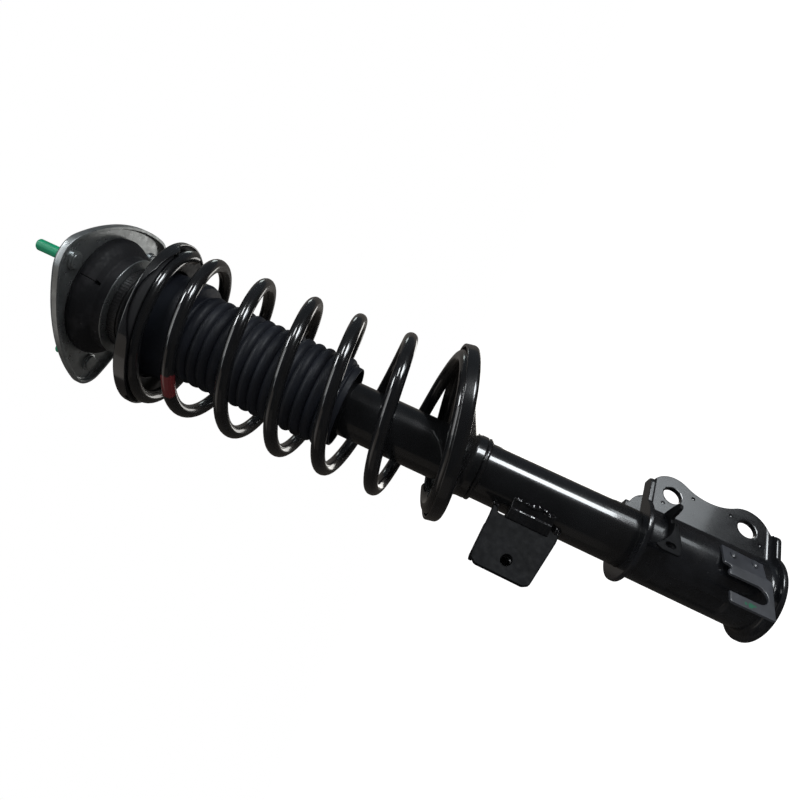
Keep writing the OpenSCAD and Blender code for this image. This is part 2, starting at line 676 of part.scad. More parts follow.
module hose_bracket() color([0.3, 0.3, 0.32]) difference() {
  translate([0, 0, hb_low]) linear_extrude(height = hb_top - hb_low) difference() {
    polygon([hb_at(wrap_r + hb_sheet, -hb_left), [hb_end, hb_y1], [hb_end, hb_y1 + hb_sheet],
      hb_at(wrap_r, -hb_left), hb_at(wrap_r - 3, 0), hb_at(wrap_r - 1, hb_right),
      hb_at(wrap_r + hb_sheet, hb_right)]);
    circle(r = wrap_r);
    translate([0, -ear_out]) square([hole_offset, ear_sheet]);
  }
  xz_plate(hb_y1 - cut, -wrap_r + cut) {
    translate([hb_slot_x, hb_slot_z]) circle(r = hb_slot_r);
    translate([hb_slot_x - hb_slot_r, hb_slot_z]) square([2 * hb_slot_r, 30]);
  }
}

module link_bracket() color([0.1, 0.1, 0.1]) difference() {
  union() {
    xz_plate(lb_y, lb_y + link_sheet) difference() {
      polygon([[-20, lb_top - 4], [-37, lb_top - 3.5], [-74, lb_top], [-79, lb_top - 0.6],
        [lb_end + 1, lb_top - 4.5], [lb_end, lb_top - 9], [lb_end, lb_low + 17.5],
        [lb_end + 1.5, lb_low + 14], [lb_end + 5, lb_low + 12], [-36, lb_low + 1.5], [-20, lb_low]]);
      translate([-33, lb_lip_top]) square([14, 7]);
      translate([-33, lb_lip_low - 6]) square([14, 6]);
      translate([-29, lb_lip_low - 1]) square([12, lb_lip_top - lb_lip_low + 2]);
      translate([lb_hole_x, lb_hole_z]) circle(r = link_hole_d / 2);
    }
    xz_plate(lb_y, lb_y + link_sheet + lb_flange) polygon([[-42, lb_top - 3], [-74, lb_top],
      [-77, lb_top - 0.3], [-77, lb_top - lb_flange_t - 0.3], [-74, lb_top - lb_flange_t],
      [-42, lb_top - 3 - lb_flange_t]]);
    xz_plate(lb_y, lb_y + link_sheet + lb_flange) polygon([[-42, lb_low + 3], [-76, lb_low + 11.2],
      [-76, lb_low + 11.2 + lb_flange_t], [-42, lb_low + 3 + lb_flange_t]]);
    translate([0, 0, lb_lip_low]) linear_extrude(height = lb_lip_top - lb_lip_low) difference() {
      union() {
        intersection() {
          circle(r = tube_r + link_sheet);
          polygon([[0, 0], [-60, -1.5], [-60, -42]]);
        }
        translate([-34, lb_y]) square([9, link_sheet]);
      }
      circle(r = tube_r);
    }
  }
  rod_z(tube_r, lb_low - cut, lb_top + cut);
}

module link_nut() color("gray") difference() {
  translate([lb_hole_x, lb_y + link_sheet, lb_hole_z]) rotate([-90, 30, 0])
    cylinder(h = nut_t, r = link_nut_af / sqrt(3), $fn = 6);
  translate([lb_hole_x, lb_y, lb_hole_z]) rotate([-90, 0, 0])
    cylinder(h = 30, r = link_hole_d / 2 - 0.3);
}

module bracket_welds() color([0.12, 0.12, 0.12]) difference() {
  union() {
    rotate([0, 0, 215]) translate([tube_r, 0, lb_lip_low + 1])
      cylinder(h = lb_lip_top - lb_lip_low - 2, r = 2.6);
    translate([-tube_r - 0.6, lb_y, lb_top - 9.5]) cylinder(h = 6, r = 3);
    translate([-tube_r - 0.6, lb_y, lb_low - 0.5]) cylinder(h = 5, r = 3);
  }
  rod_z(tube_r, lb_low - 10, lb_top + 10);
  intersection() {
    rod_z(tube_r + link_sheet, lb_lip_low - cut, lb_lip_top + cut);
    translate([0, 0, lb_lip_low - cut]) linear_extrude(height = lb_lip_top - lb_lip_low + 2 * cut)
      polygon([[0, 0], [-60, -1.5], [-60, -42]]);
  }
  translate([-90, lb_y, lb_low - 10]) cube([90, link_sheet, lb_top - lb_low + 20]);
}

// ---------- drawing
mount_plate();
mount_studs();
stud_sleeves();
mount_rubber();
mount_cup();
mount_sleeve();
mount_washer();
rod_nut();
upper_race();
piston_rod();
stopper_cup();
bump_stopper();
rebound_stop();
piston();
piston_band();
piston_valve();
piston_nut();
lower_race();
upper_spring_seat();
spring_insulator();
dust_boot();
coil_spring();
bearing_cage();
bearing_balls();
strut_tube();
tube_cap();
rod_seal();
rod_guide();
guide_bush();
inner_tube();
base_valve();
base_cup();
lower_spring_seat();
seat_weld();
knuckle_bracket();
wire_bracket();
hose_bracket();
link_bracket();
link_nut();
bracket_welds();
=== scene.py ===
"""Detailed pieces and finishes of a front suspension strut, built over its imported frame."""

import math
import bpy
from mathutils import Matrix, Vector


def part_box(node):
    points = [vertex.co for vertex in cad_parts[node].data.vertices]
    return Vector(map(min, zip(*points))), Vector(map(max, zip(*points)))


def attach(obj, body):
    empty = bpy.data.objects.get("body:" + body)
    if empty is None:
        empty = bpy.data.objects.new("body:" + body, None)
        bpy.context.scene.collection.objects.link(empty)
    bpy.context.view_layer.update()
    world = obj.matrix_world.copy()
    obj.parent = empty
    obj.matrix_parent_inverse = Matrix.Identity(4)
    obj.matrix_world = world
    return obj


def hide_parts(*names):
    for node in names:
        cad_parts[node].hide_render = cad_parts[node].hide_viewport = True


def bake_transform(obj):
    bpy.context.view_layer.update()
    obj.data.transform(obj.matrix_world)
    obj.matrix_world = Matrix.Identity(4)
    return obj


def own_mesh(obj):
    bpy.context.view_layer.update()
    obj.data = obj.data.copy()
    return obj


bl_info = {
    "name": "Suspension strut",
    "version": (1, 0, 0),
    "blender": (4, 5, 0),
    "location": "View3D > Sidebar > Strut",
    "description": "Builds the detailed pieces, finishes and studio of a suspension strut",
    "category": "Object",
}

import bmesh
import bpy
from bpy.props import FloatProperty, FloatVectorProperty, IntProperty, PointerProperty
from mathutils import Matrix, Vector, noise
from mathutils.geometry import tessellate_polygon
from mathutils.kdtree import KDTree

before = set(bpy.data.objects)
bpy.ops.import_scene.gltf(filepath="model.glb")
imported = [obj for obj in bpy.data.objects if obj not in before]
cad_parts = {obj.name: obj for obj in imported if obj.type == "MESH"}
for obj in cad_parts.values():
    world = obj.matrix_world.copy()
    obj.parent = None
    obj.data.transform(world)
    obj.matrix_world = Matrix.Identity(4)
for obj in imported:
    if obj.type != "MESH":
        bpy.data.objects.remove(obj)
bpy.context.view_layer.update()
MM = 0.001
PI = math.pi

# foot and top of the knuckle bracket, taken from the frame
Z_BOT, Z_BR = (round(corner.z / MM, 3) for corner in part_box("knuckle_bracket"))

# share of an eased edge's radius that its middle point keeps
EASE = 0.29
# share of an edge that one eased corner may take
CORNER_SHARE = 0.48


# ---------- plain geometry, in millimetres and degrees
def cos(a):
    return math.cos(math.radians(a))


def sin(a):
    return math.sin(math.radians(a))


def polar(r, a, z):
    return (r * cos(a), r * sin(a), z)

def circle(r, z, sides):
    return [polar(r, 360 * k / sides, z) for k in range(sides)]


def spin(x, y, a):
    """The flat point turned by a about the origin."""
    return (x * cos(a) - y * sin(a), x * sin(a) + y * cos(a))


def smoothstep(x):
    x = min(1.0, max(0.0, x))
    return x * x * (3 - 2 * x)


def table(t, rows):
    """Value at t on straight lines between the rows of (t, value)."""
    if t <= rows[0][0]:
        return rows[0][1]
    for (t0, v0), (t1, v1) in zip(rows, rows[1:]):
        if t <= t1:
            return v0 + (v1 - v0) * (t - t0) / (t1 - t0)
    return rows[-1][1]


def arc(cx, cy, r, a0, a1, steps):
    """Points of an arc from angle a0 to a1."""
    return [(cx + r * cos(a0 + (a1 - a0) * i / steps), cy + r * sin(a0 + (a1 - a0) * i / steps))
            for i in range(steps + 1)]


def eased(points, radii, steps=4):
    """A closed outline, flat or in space, with each corner turned into an arc of its radius.
    Every corner gives the same count of points, so that outlines can be joined to each other,
    apart from one with a radius below 0, which stays one point."""
    out = []
    n = len(points)
    if not isinstance(radii, (list, tuple)):
        radii = [radii] * n
    for i, r in enumerate(radii):
        a, b, c = (Vector(points[j % n]) for j in (i - 1, i, i + 1))
        if r < 0:
            out.append(tuple(b))
            continue
        u, v = a - b, c - b
        half = u.angle(v, PI) / 2
        if r == 0 or not math.radians(1) <= half <= math.radians(89):
            out += [tuple(b)] * (steps + 1)
            continue
        d = min(r / math.tan(half), CORNER_SHARE * u.length, CORNER_SHARE * v.length)
        u.normalize()
        v.normalize()
        centre = b + (u + v).normalized() * (d / math.cos(half))
        p, q = b + u * d - centre, b + v * d - centre
        turn = PI - 2 * half
        for k in range(steps + 1):
            f = k / steps
            part = (p * math.sin((1 - f) * turn) + q * math.sin(f * turn)) / math.sin(turn)
            out.append(tuple(centre + part))
    return out


def linked(name, data):
    """A new object in the scene."""
    ob = bpy.data.objects.new(name, data)
    bpy.context.scene.collection.objects.link(ob)
    return ob


def shade(ob, angle=32):
    """Shades the faces smooth below the angle."""
    ob.data.shade_smooth()
    ob.data.set_sharp_from_angle(angle=math.radians(angle))
    return ob


def close_up(ob, angle=32, merge=2e-6):
    """Merges doubles, turns the faces outwards and shades them smooth below the angle."""
    bm = bmesh.new()
    bm.from_mesh(ob.data)
    bmesh.ops.remove_doubles(bm, verts=bm.verts, dist=merge)
    bmesh.ops.dissolve_degenerate(bm, edges=bm.edges, dist=merge / 2)
    bmesh.ops.delete(bm, geom=[e for e in bm.edges if not e.link_faces], context="EDGES")
    bmesh.ops.recalc_face_normals(bm, faces=bm.faces)
    bm.to_mesh(ob.data)
    bm.free()
    return shade(ob, angle)


def lofted(name, rings, angle=32, closed=False, caps=False):
    """A mesh object through rings of equally many points, closed up and with its faces turned outwards.
    closed joins the last ring to the first, and caps fills the first and the last."""
    m, n = len(rings[0]), len(rings)
    faces = []
    for i in range(n if closed else n - 1):
        here, there = i * m, (i + 1) % n * m
        faces += [(here + k, here + (k + 1) % m, there + (k + 1) % m, there + k) for k in range(m)]
    if caps:
        faces += [tuple(range(m)), tuple(range((n - 1) * m, n * m))]
    mesh = bpy.data.meshes.new(name)
    mesh.from_pydata([[v * MM for v in p] for ring in rings for p in ring], [], faces)
    return close_up(linked(name, mesh), angle)


def spun(name, outline, radii, sides, steps):
    """A ring whose section changes round the axis: outline gives its points in space at an angle."""
    return lofted(name, [eased(outline(360 * k / sides), radii, steps) for k in range(sides)], closed=True)


def turned(name, outline, radii=0.6, sides=96, angle=32, steps=4):
    """A turned solid from its closed outline of (radius, height)."""
    flat = eased(outline, radii, steps)
    rings = [[polar(r, 360 * k / sides, z) for r, z in flat] for k in range(sides)]
    return lofted(name, rings, angle, closed=True)


def placed(ob, at, turn=Matrix.Identity(4)):
    """Turns the piece, and moves it by a distance in millimetres."""
    ob.data.transform(Matrix.Translation([v * MM for v in at]) @ turn)
    return ob


def signed_area(loop):
    return sum(a[0] * b[1] - b[0] * a[1] for a, b in zip(loop, loop[1:] + loop[:1])) / 2


def inset(loop, d):
    """The flat loop moved inwards by d, on the side of its material."""
    out = []
    n = len(loop)
    for i in range(n):
        a, b, c = Vector(loop[i - 1]), Vector(loop[i]), Vector(loop[(i + 1) % n])
        u, v = (b - a).normalized(), (c - b).normalized()
        nu, nv = Vector((-u.y, u.x)), Vector((-v.y, v.x))
        m = nu + nv
        if m.length < 1e-6:
            m = nu
        m.normalize()
        out.append(tuple(b + m * (d / max(0.5, m.dot(nu)))))
    return out


def cleaned(loop, least=0.02):
    out = []
    for p in loop:
        if not out or (Vector(p) - Vector(out[-1])).length > least:
            out.append(tuple(p))
    if (Vector(out[0]) - Vector(out[-1])).length <= least:
        out.pop()
    return out


def sheet_piece(name, loops, thick, edge, place, cuts=()):
    """Sheet metal cut to the first loop, with the other loops as holes and with eased edges.
    place turns (u, v, w) into a point in space; cuts are the values of u where a bend needs a line."""
    verts, faces, top, under = [], [], [], []
    half, mid = thick / 2, edge * EASE
    # each level of the edge: how far it is drawn in, and its height
    levels = ((edge, half), (mid, half - mid), (0, half - edge),
              (0, edge - half), (mid, mid - half), (edge, -half))
    for n, loop in enumerate(loops):
        loop = cleaned(loop)
        if (signed_area(loop) > 0) != (n == 0):
            loop.reverse()
        start, m = len(verts), len(loop)
        for d, w in levels:
            verts += [(x, y, w) for x, y in inset(loop, d)]
        for row in range(start, len(verts) - m, m):
            faces += [(row + k, row + (k + 1) % m, row + m + (k + 1) % m, row + m + k) for k in range(m)]
        top.append(range(start, start + m))
        under.append(range(len(verts) - m, len(verts)))
    for rings in (top, under):
        flat = [i for ring in rings for i in ring]
        for tri in tessellate_polygon([[Vector((*verts[i][:2], 0)) for i in ring] for ring in rings]):
            faces.append(tuple(flat[i] for i in tri))
    bm = bmesh.new()
    made = [bm.verts.new(v) for v in verts]
    for f in faces:
        corners = [made[i] for i in f]
        if len(set(f)) == len(f) and not bm.faces.get(corners):
            bm.faces.new(corners)
    for u in cuts:
        bmesh.ops.bisect_plane(bm, geom=bm.verts[:] + bm.edges[:] + bm.faces[:], dist=1e-4,
                               plane_co=(u, 0, 0), plane_no=(1, 0, 0))
    for v in bm.verts:
        v.co = Vector(place(*v.co)) * MM
    mesh = bpy.data.meshes.new(name)
    bm.to_mesh(mesh)
    bm.free()
    return close_up(linked(name, mesh))


def bead(path, radius, lumps, seed, pitch, sides=16):
    """A weld bead along the path, with the ripples of its passes."""
    rings = []
    n = len(path)
    for i, p in enumerate(path):
        p = Vector(p)
        d = (Vector(path[min(i + 1, n - 1)]) - Vector(path[max(i - 1, 0)])).normalized()
        side = d.orthogonal().normalized()
        up = d.cross(side)
        # the bead runs out over its last few points
        end = min(1.0, (min(i, n - 1 - i) + 0.4) / 4)
        ring = []
        for k in range(sides):
            a = 2 * PI * k / sides
            q = side * math.cos(a) + up * math.sin(a)
            wobble = noise.noise((p + q * radius) * (1 / pitch) + Vector((seed, 0, 0)))
            ring.append(tuple(p + q * (radius * math.sqrt(end) * (1 - lumps * 0.5 + lumps * wobble))))
        rings.append(ring)
    return lofted("bead", rings, 50, caps=True)


def joined(name, obs):
    """One object from several, each of them closed."""
    bm = bmesh.new()
    for ob in obs:
        bm.from_mesh(ob.data)
        bpy.data.objects.remove(ob)
    mesh = bpy.data.meshes.new(name)
    bm.to_mesh(mesh)
    bm.free()
    return shade(linked(name, mesh))


def apply_all(ob):
    """Turns the evaluated object into its plain mesh and drops the modifiers."""
    bpy.context.view_layer.update()
    mesh = bpy.data.meshes.new_from_object(ob.evaluated_get(bpy.context.evaluated_depsgraph_get()))
    ob.modifiers.clear()
    old = ob.data
    ob.data = mesh
    mesh.name = ob.name
    if old.users == 0:
        bpy.data.meshes.remove(old)
    return ob


def cut_out(ob, cutters, angle=32):
    """Takes the cutters out of the piece."""
    for cutter in cutters:
        mod = ob.modifiers.new("cut", "BOOLEAN")
        mod.operation = "DIFFERENCE"
        mod.solver = "EXACT"
        mod.object = cutter
        apply_all(ob)
        bpy.data.objects.remove(cutter)
    return close_up(ob, angle)


# ---------- node trees
class Board:
    """Adds nodes to a tree and links or sets their inputs."""

    def __init__(self, tree):
        self.tree = tree

    def add(self, kind, values=None, **settings):
        node = self.tree.nodes.new(kind)
        for key, value in settings.items():
            setattr(node, key, value)
        for key, value in (values or {}).items():
            if isinstance(value, bpy.types.NodeSocket):
                self.tree.links.new(value, node.inputs[key])
            else:
                node.inputs[key].default_value = value
        return node

    def math(self, operation, *values):
        return self.add("ShaderNodeMath", dict(enumerate(values)), operation=operation).outputs[0]

    def spread(self, value, low, high, to=(0.0, 1.0)):
        """The value's range from low to high, spread over the range to."""
        return self.add("ShaderNodeMapRange", {"Value": value, "From Min": low, "From Max": high,
                                               "To Min": to[0], "To Max": to[1]}).outputs[0]

    def noise(self, where, scale, detail, roughness=0.5):
        return self.add("ShaderNodeTexNoise", {"Vector": where, "Scale": scale, "Detail": detail,
                                               "Roughness": roughness}).outputs[0]

    def mix(self, mask, under, over):
        return self.add("ShaderNodeMix", {"Factor": mask, "A": under, "B": over},
                        data_type="RGBA").outputs[2]


def cleared(block):
    """The empty board of a material or a world."""
    block.use_nodes = True
    block.node_tree.nodes.clear()
    return Board(block.node_tree)


def node_tree(name, kind, inputs, output, make):
    """A tree of the kind with named inputs and one output, built once by make. An input is its
    socket's type and default."""
    if name in bpy.data.node_groups:
        return bpy.data.node_groups[name]
    tree = bpy.data.node_groups.new(name, kind)
    for label, (socket_type, value) in inputs.items():
        socket = tree.interface.new_socket(label, in_out="INPUT", socket_type="NodeSocket" + socket_type)
        if value is not None:
            socket.default_value = value
    tree.interface.new_socket(output[0], in_out="OUTPUT", socket_type="NodeSocket" + output[1])
    b = Board(tree)
    b.add("NodeGroupOutput", {output[0]: make(b, b.add("NodeGroupInput").outputs)})
    return tree


def geometry_tree(name, inputs, make):
    """A tree that makes a shape, which ends in Realize Instances and Set Material."""
    def whole(b, ins):
        real = b.add("GeometryNodeRealizeInstances", {"Geometry": make(b, ins)}).outputs[0]
        return b.add("GeometryNodeSetMaterial", {"Geometry": real, "Material": ins["Material"]}).outputs[0]

    inputs = {"Geometry": ("Geometry", None), **inputs, "Material": ("Material", None)}
    return node_tree(name, "GeometryNodeTree", inputs, ("Geometry", "Geometry"), whole)


def tree_wire():
    """A round wire along the edges that it is given."""
    def make(b, ins):
        path = b.add("GeometryNodeMeshToCurve", {"Mesh": ins["Geometry"]}).outputs[0]
        section = b.add("GeometryNodeCurvePrimitiveCircle", {"Resolution": ins["Sides"],
                                                             "Radius": ins["Radius"]}).outputs[0]
        return b.add("GeometryNodeCurveToMesh", {"Curve": path, "Profile Curve": section,
                                                 "Fill Caps": True}).outputs[0]
    return geometry_tree("Wire along a path", {"Radius": ("Float", 0.0062), "Sides": ("Int", 24)}, make)


def tree_repeat():
    """Copies of one piece, each turned about Z and moved along a step from the last."""
    def make(b, ins):
        line = b.add("GeometryNodeMeshLine", {"Count": ins["Count"], "Offset": ins["Step"]}).outputs[0]
        info = b.add("GeometryNodeObjectInfo", {"Object": ins["Piece"]}).outputs["Geometry"]
        index = b.add("GeometryNodeInputIndex").outputs[0]
        turn = b.math("MULTIPLY_ADD", index, ins["Turn"], ins["First turn"])
        way = b.add("ShaderNodeCombineXYZ", {"Z": turn}).outputs[0]
        euler = b.add("FunctionNodeEulerToRotation", {0: way}).outputs[0]
        return b.add("GeometryNodeInstanceOnPoints", {"Points": line, "Instance": info,
                                                      "Rotation": euler}).outputs[0]
    return geometry_tree("Repeat a piece", {
        "Piece": ("Object", None), "Count": ("Int", 3), "First turn": ("Float", 0.0),
        "Turn": ("Float", 0.0), "Step": ("Vector", (0.0, 0.0, 0.0))}, make)


def grown(ob, tree, **values):
    """Runs the tree on the object and keeps the plain mesh."""
    mod = ob.modifiers.new(tree.name, "NODES")
    mod.node_group = tree
    for item in tree.interface.items_tree:
        key = item.name.replace(" ", "_").lower()
        if item.in_out == "INPUT" and key in values:
            mod[item.identifier] = values[key]
    ob.update_tag()
    return apply_all(ob)


def repeated(name, piece, count, turn=0.0, first=0.0, step=(0, 0, 0), material=None, angle=32):
    """The piece repeated by the tree as one object; turns in degrees, the step in millimetres."""
    ob = linked(name, bpy.data.meshes.new(name))
    grown(ob, tree_repeat(), piece=piece, count=count, turn=math.radians(turn),
          first_turn=math.radians(first), step=tuple(s * MM for s in step), material=material)
    bpy.data.objects.remove(piece)
    return shade(ob, angle)


# ---------- finishes
def screen(r, g, b):
    """A linear colour from screen values of 0 to 255."""
    return tuple(((c / 255 + 0.055) / 1.055) ** 2.4 if c > 10 else c / 255 / 12.92 for c in (r, g,
                                                                                             b)) + (1.0,)


def tint(colour, by=1.0):
    """The colour with each channel times by."""
    return tuple(v * by for v in colour) + (1.0,)


def mask_group(name, numbers, make):
    """A shader group that reads a place and some numbers and gives a mask from 0 to 1."""
    inputs = {label: ("Float", value) for label, value in numbers.items()}
    return node_tree(name, "ShaderNodeTree", {"Vector": ("Vector", (0, 0, 0)), **inputs},
                     ("Mask", "Float"), make)


def group_mottle():
    """Soft uneven patches."""
    def make(b, ins):
        return b.spread(b.noise(ins["Vector"], ins["Scale"], ins["Detail"], 0.6), ins["From"], ins["To"])
    return mask_group("Mottle", {"Scale": 40.0, "Detail": 3.0, "From": 0.35, "To": 0.65}, make)


def group_specks():
    """Small scattered dots, such as dust on paint."""
    def make(b, ins):
        cells = b.add("ShaderNodeTexVoronoi", {"Vector": ins["Vector"], "Scale": ins["Scale"]}).outputs
        number = b.add("ShaderNodeSeparateColor", {"Color": cells["Color"]}).outputs[0]
        return b.math("MULTIPLY", b.math("LESS_THAN", cells["Distance"], ins["Size"]),
                      b.math("LESS_THAN", number, ins["Share"]))
    return mask_group("Specks", {"Scale": 300.0, "Size": 0.12, "Share": 0.05}, make)


def finish(name, base, other, rough, *, metallic=0.0, specular=0.5, coat=0.0, coat_rough=0.05,
           coat_ior=1.5, patch=35.0, patch_range=(0.35, 0.65), grain=900.0, depth=0.02, strength=0.3,
           stretch=(1, 1, 1), specks=None, mark=None, spots=()):
    """A painted, plated, moulded or rubber surface. rough is its lowest and highest roughness, depth the
    grain's height in millimetres; specks, mark and spots lay a second colour over parts of it."""
    if name in bpy.data.materials:
        return bpy.data.materials[name]
    mat = bpy.data.materials.new(name)
    b = cleared(mat)
    where = b.add("ShaderNodeTexCoord").outputs["Object"]
    along = b.add("ShaderNodeMapping", {"Vector": where, "Scale": stretch}).outputs[0]
    patches = b.add("ShaderNodeGroup", {"Vector": where, "Scale": patch, "From": patch_range[0],
                                        "To": patch_range[1]}, node_tree=group_mottle()).outputs[0]
    colour = b.mix(patches, base, other)
    roughness = b.spread(b.noise(along, grain * 0.25, 4.0), 0.3, 0.7, rough)

    def near(away, scale, wander, full, none):
        """A mask with a ragged edge, full where away is small."""
        ragged = b.math("MULTIPLY_ADD", b.noise(where, scale, 3.0), wander, away)
        return b.spread(ragged, full, none, (1.0, 0.0))

    layers = []
    if specks:
        over, scale, size, share = specks
        layers.append((b.add("ShaderNodeGroup", {"Vector": where, "Scale": scale, "Size": size,
                                                 "Share": share}, node_tree=group_specks()).outputs[0], over))
    if mark:
        over, attribute, middle, wide = mark
        value = b.add("ShaderNodeAttribute", attribute_name=attribute).outputs["Fac"]
        away = b.math("ABSOLUTE", b.math("SUBTRACT", value, middle))
        layers.append((near(away, 260.0, wide * 0.5, wide * 1.25, wide * 1.4), over))
    for over, centre, size in spots:
        away = b.add("ShaderNodeVectorMath", {0: where, 1: tuple(c * MM for c in centre)},
                     operation="DISTANCE").outputs["Value"]
        layers.append((near(away, 420.0, size * MM * 1.8, size * MM * 1.5, size * MM * 1.7), over))
    for mask, over in layers:
        colour = b.mix(mask, colour, over)

    normal = b.add("ShaderNodeBump", {"Height": b.noise(along, grain, 3.0), "Strength": strength,
                                      "Distance": depth * MM}).outputs[0]
    body = b.add("ShaderNodeBsdfPrincipled", {
        "Base Color": colour, "Roughness": roughness, "Normal": normal, "Metallic": metallic,
        "Specular IOR Level": specular, "IOR": 1.5, "Coat Weight": coat, "Coat Roughness": coat_rough,
        "Coat IOR": coat_ior}).outputs[0]
    b.add("ShaderNodeOutputMaterial", {"Surface": body})
    return mat


def finishes(c):
    """Every finish of the strut, by its slot or its use."""
    black, other = tint(c.paint), tint(c.paint, 1.5)
    dust, dab = screen(96, 96, 98), tint(c.sleeve, 0.35)
    gloss = dict(coat=1.0, coat_ior=1.6, grain=90, strength=0.1)
    satin = dict(patch=60, grain=260, strength=0.2, specks=(dust, 480, 0.11, 0.02))
    return {
        "black_paint": finish("Gloss black paint", black, other, (0.2, 0.28), **gloss, coat_rough=0.06,
                              specks=(dust, 420, 0.07, 0.012)),
        "spring_paint": finish("Spring paint", black, other, (0.16, 0.26), **gloss,
                               specks=(dust, 420, 0.07, 0.01), mark=(tint(c.mark), "turn", 1.372, 0.024)),
        "bracket_paint": finish("Satin bracket paint", tint(c.bracket, 0.5), tint(c.bracket, 0.9),
                                (0.18, 0.3), **satin, coat=0.8, coat_rough=0.08),
        # the hose holder's copy of the bracket paint, its base 2.6 to 3.8 times the bracket colour where the
        # bracket paint has 0.5 to 0.9: painted light on the hose holder
        "hose_paint": finish("Thin bracket paint", tint(c.bracket, 2.6), tint(c.bracket, 3.8), (0.3, 0.44),
                             **satin, specular=0.6, coat=0.5, coat_rough=0.12,
                             spots=[(dab, (-35, -40.2, -597.9), 2.6), (dab, (-34.5, -40.1, -594.4), 1.8),
                                    (dab, (-34.1, -39.9, -601), 1.7)]),
        # dull, dark paint: the link plate's own finish, and painted shade on the wire holder, whose slot is
        # the bracket paint
        "plate_paint": finish("Dull plate paint", tint(c.bracket, 0.3), tint(c.bracket, 0.5), (0.5, 0.64),
                              specular=0.14, patch=60, grain=800, depth=0.03,
                              specks=(dust, 420, 0.09, 0.02)),
        "zinc": finish("Zinc plate", tint(c.zinc), tint(c.zinc, 0.72), (0.25, 0.38), metallic=0.88, patch=55,
                       patch_range=(0.3, 0.7), grain=620, stretch=(1, 1, 0.12), depth=0.03),
        "steel": finish("Bright steel", tint((0.5, 0.5, 0.5)), tint((0.36, 0.36, 0.37)), (0.2, 0.32),
                        metallic=1.0, grain=1500, depth=0.01, strength=0.2),
        "rod_chrome": finish("Hard chrome", tint((0.62, 0.62, 0.64)), tint((0.56, 0.56, 0.58)), (0.06, 0.12),
                             metallic=1.0, grain=1500, depth=0.004, strength=0.1),
        "mount_rubber": finish("Mount rubber", tint(c.rubber), screen(50, 49, 52), (0.5, 0.72), specular=0.35,
                               patch=34, patch_range=(0.45, 0.8), grain=1100, depth=0.04, strength=0.35,
                               specks=(screen(120, 120, 122), 260, 0.08, 0.03)),
        "seat_rubber": finish("Spring pad rubber", tint(c.rubber, 0.6), tint(c.rubber, 0.9), (0.42, 0.56),
                              specular=0.25, patch=40, grain=1000, depth=0.03, specks=(dust, 420, 0.1, 0.02)),
        "boot_rubber": finish("Boot rubber", tint(c.boot), tint(c.boot, 1.35), (0.46, 0.6), specular=0.4,
                              patch=45, grain=1300, depth=0.025, specks=(dust, 420, 0.09, 0.02)),
        "foam": finish("Microcellular foam", tint((0.62, 0.5, 0.24)), tint((0.5, 0.38, 0.16)), (0.75, 0.9),
                       specular=0.3, patch=120, grain=1800, depth=0.15, strength=0.6),
        "race_plastic": finish("Race plastic", tint((0.012, 0.012, 0.013)), tint((0.02, 0.02, 0.021)),
                               (0.35, 0.5), grain=1400, strength=0.25),
        "cage_plastic": finish("Cage plastic", tint((0.5, 0.43, 0.28)), tint((0.42, 0.36, 0.23)), (0.4, 0.55),
                               grain=1400, strength=0.25),
        "sleeve_green": finish("Green sleeve", tint(c.sleeve), tint(c.sleeve, 0.75), (0.3, 0.42), patch=120,
                               strength=0.2),
        "band": finish("Piston band", tint((0.03, 0.12, 0.14)), tint((0.02, 0.09, 0.11)), (0.4, 0.55),
                       grain=1400),
        "bronze": finish("Bush bronze", tint((0.52, 0.32, 0.13)), tint((0.42, 0.25, 0.1)), (0.25, 0.4),
                         metallic=1.0, grain=1400, depth=0.01),
        "cast": finish("Sintered metal", tint((0.32, 0.32, 0.33)), tint((0.24, 0.24, 0.25)), (0.4, 0.6),
                       metallic=1.0, patch=160, grain=1600, depth=0.04, strength=0.4),
    }


def flatter(ob):
    """Lets the large faces lead the shading, so flat sheet looks flat up to its eased edges."""
    mod = ob.modifiers.new("flat faces", "WEIGHTED_NORMAL")
    mod.mode = "FACE_AREA"
    mod.weight = 60
    mod.keep_sharp = True
    return apply_all(ob)


def dress(ob, slot, mats, node=None, paint=None):
    """Gives a piece the finish of its slot, or of paint when that is given, and hides the node that it stands
    for, which is the one of its own name unless node says another."""
    ob.data.materials.clear()
    ob.data.materials.append(mats[paint or slot])
    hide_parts(node or ob.name.lower())
    return ob


def place_on(ob, body, slot, mats, **more):
    """Finishes a piece that rides on one body."""
    if slot not in ("foam", "boot_rubber"):
        flatter(ob)
    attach(ob, body)
    return dress(ob, slot, mats, **more)


def turned_on(mats, body, slot, name, outline, radii, **how):
    """A turned piece that rides on a body."""
    return place_on(turned(name, outline, radii, **how), body, slot, mats)


# ---------- sizes and colours
def number(name, description, default, low, high):
    return FloatProperty(name=name, description=description, default=default, min=low, max=high)


def colour(name, description, default):
    return FloatVectorProperty(name=name, description=description, default=default, subtype="COLOR")


class StrutSizes(bpy.types.PropertyGroup):
    """Sizes of the strut in millimetres."""
    tube_r: number("Tube radius", "Outer radius of the damper tube", 25.5, 20, 30)
    wire_d: number("Wire diameter", "Thickness of the coil spring's wire", 12.4, 10, 14)
    coil_r: number("Coil radius", "From the coil's centre to the wire's centre", 68.2, 60, 75)
    coil_turns: number("Coil turns", "Turn count at the coil's lower end", 6.6, 5, 7)
    boot_r: number("Boot radius", "Outer radius of the boot's ribs", 42.6, 38, 46)
    boot_ribs: IntProperty(name="Boot ribs", description="Number of ribs of the dust boot", default=14, min=8,
                           max=18)
    stud_circle: number("Stud circle radius", "From the axis to each stud", 70, 60, 75)
    mount_clock: FloatProperty(name="Mount turn", default=8.6,
                               description="Angle of the first stud about the axis, in degrees")
    sheet_edge: number("Sheet edge radius", "Rounding of the sheet metal's edges", 0.9, 0.2, 1.5)


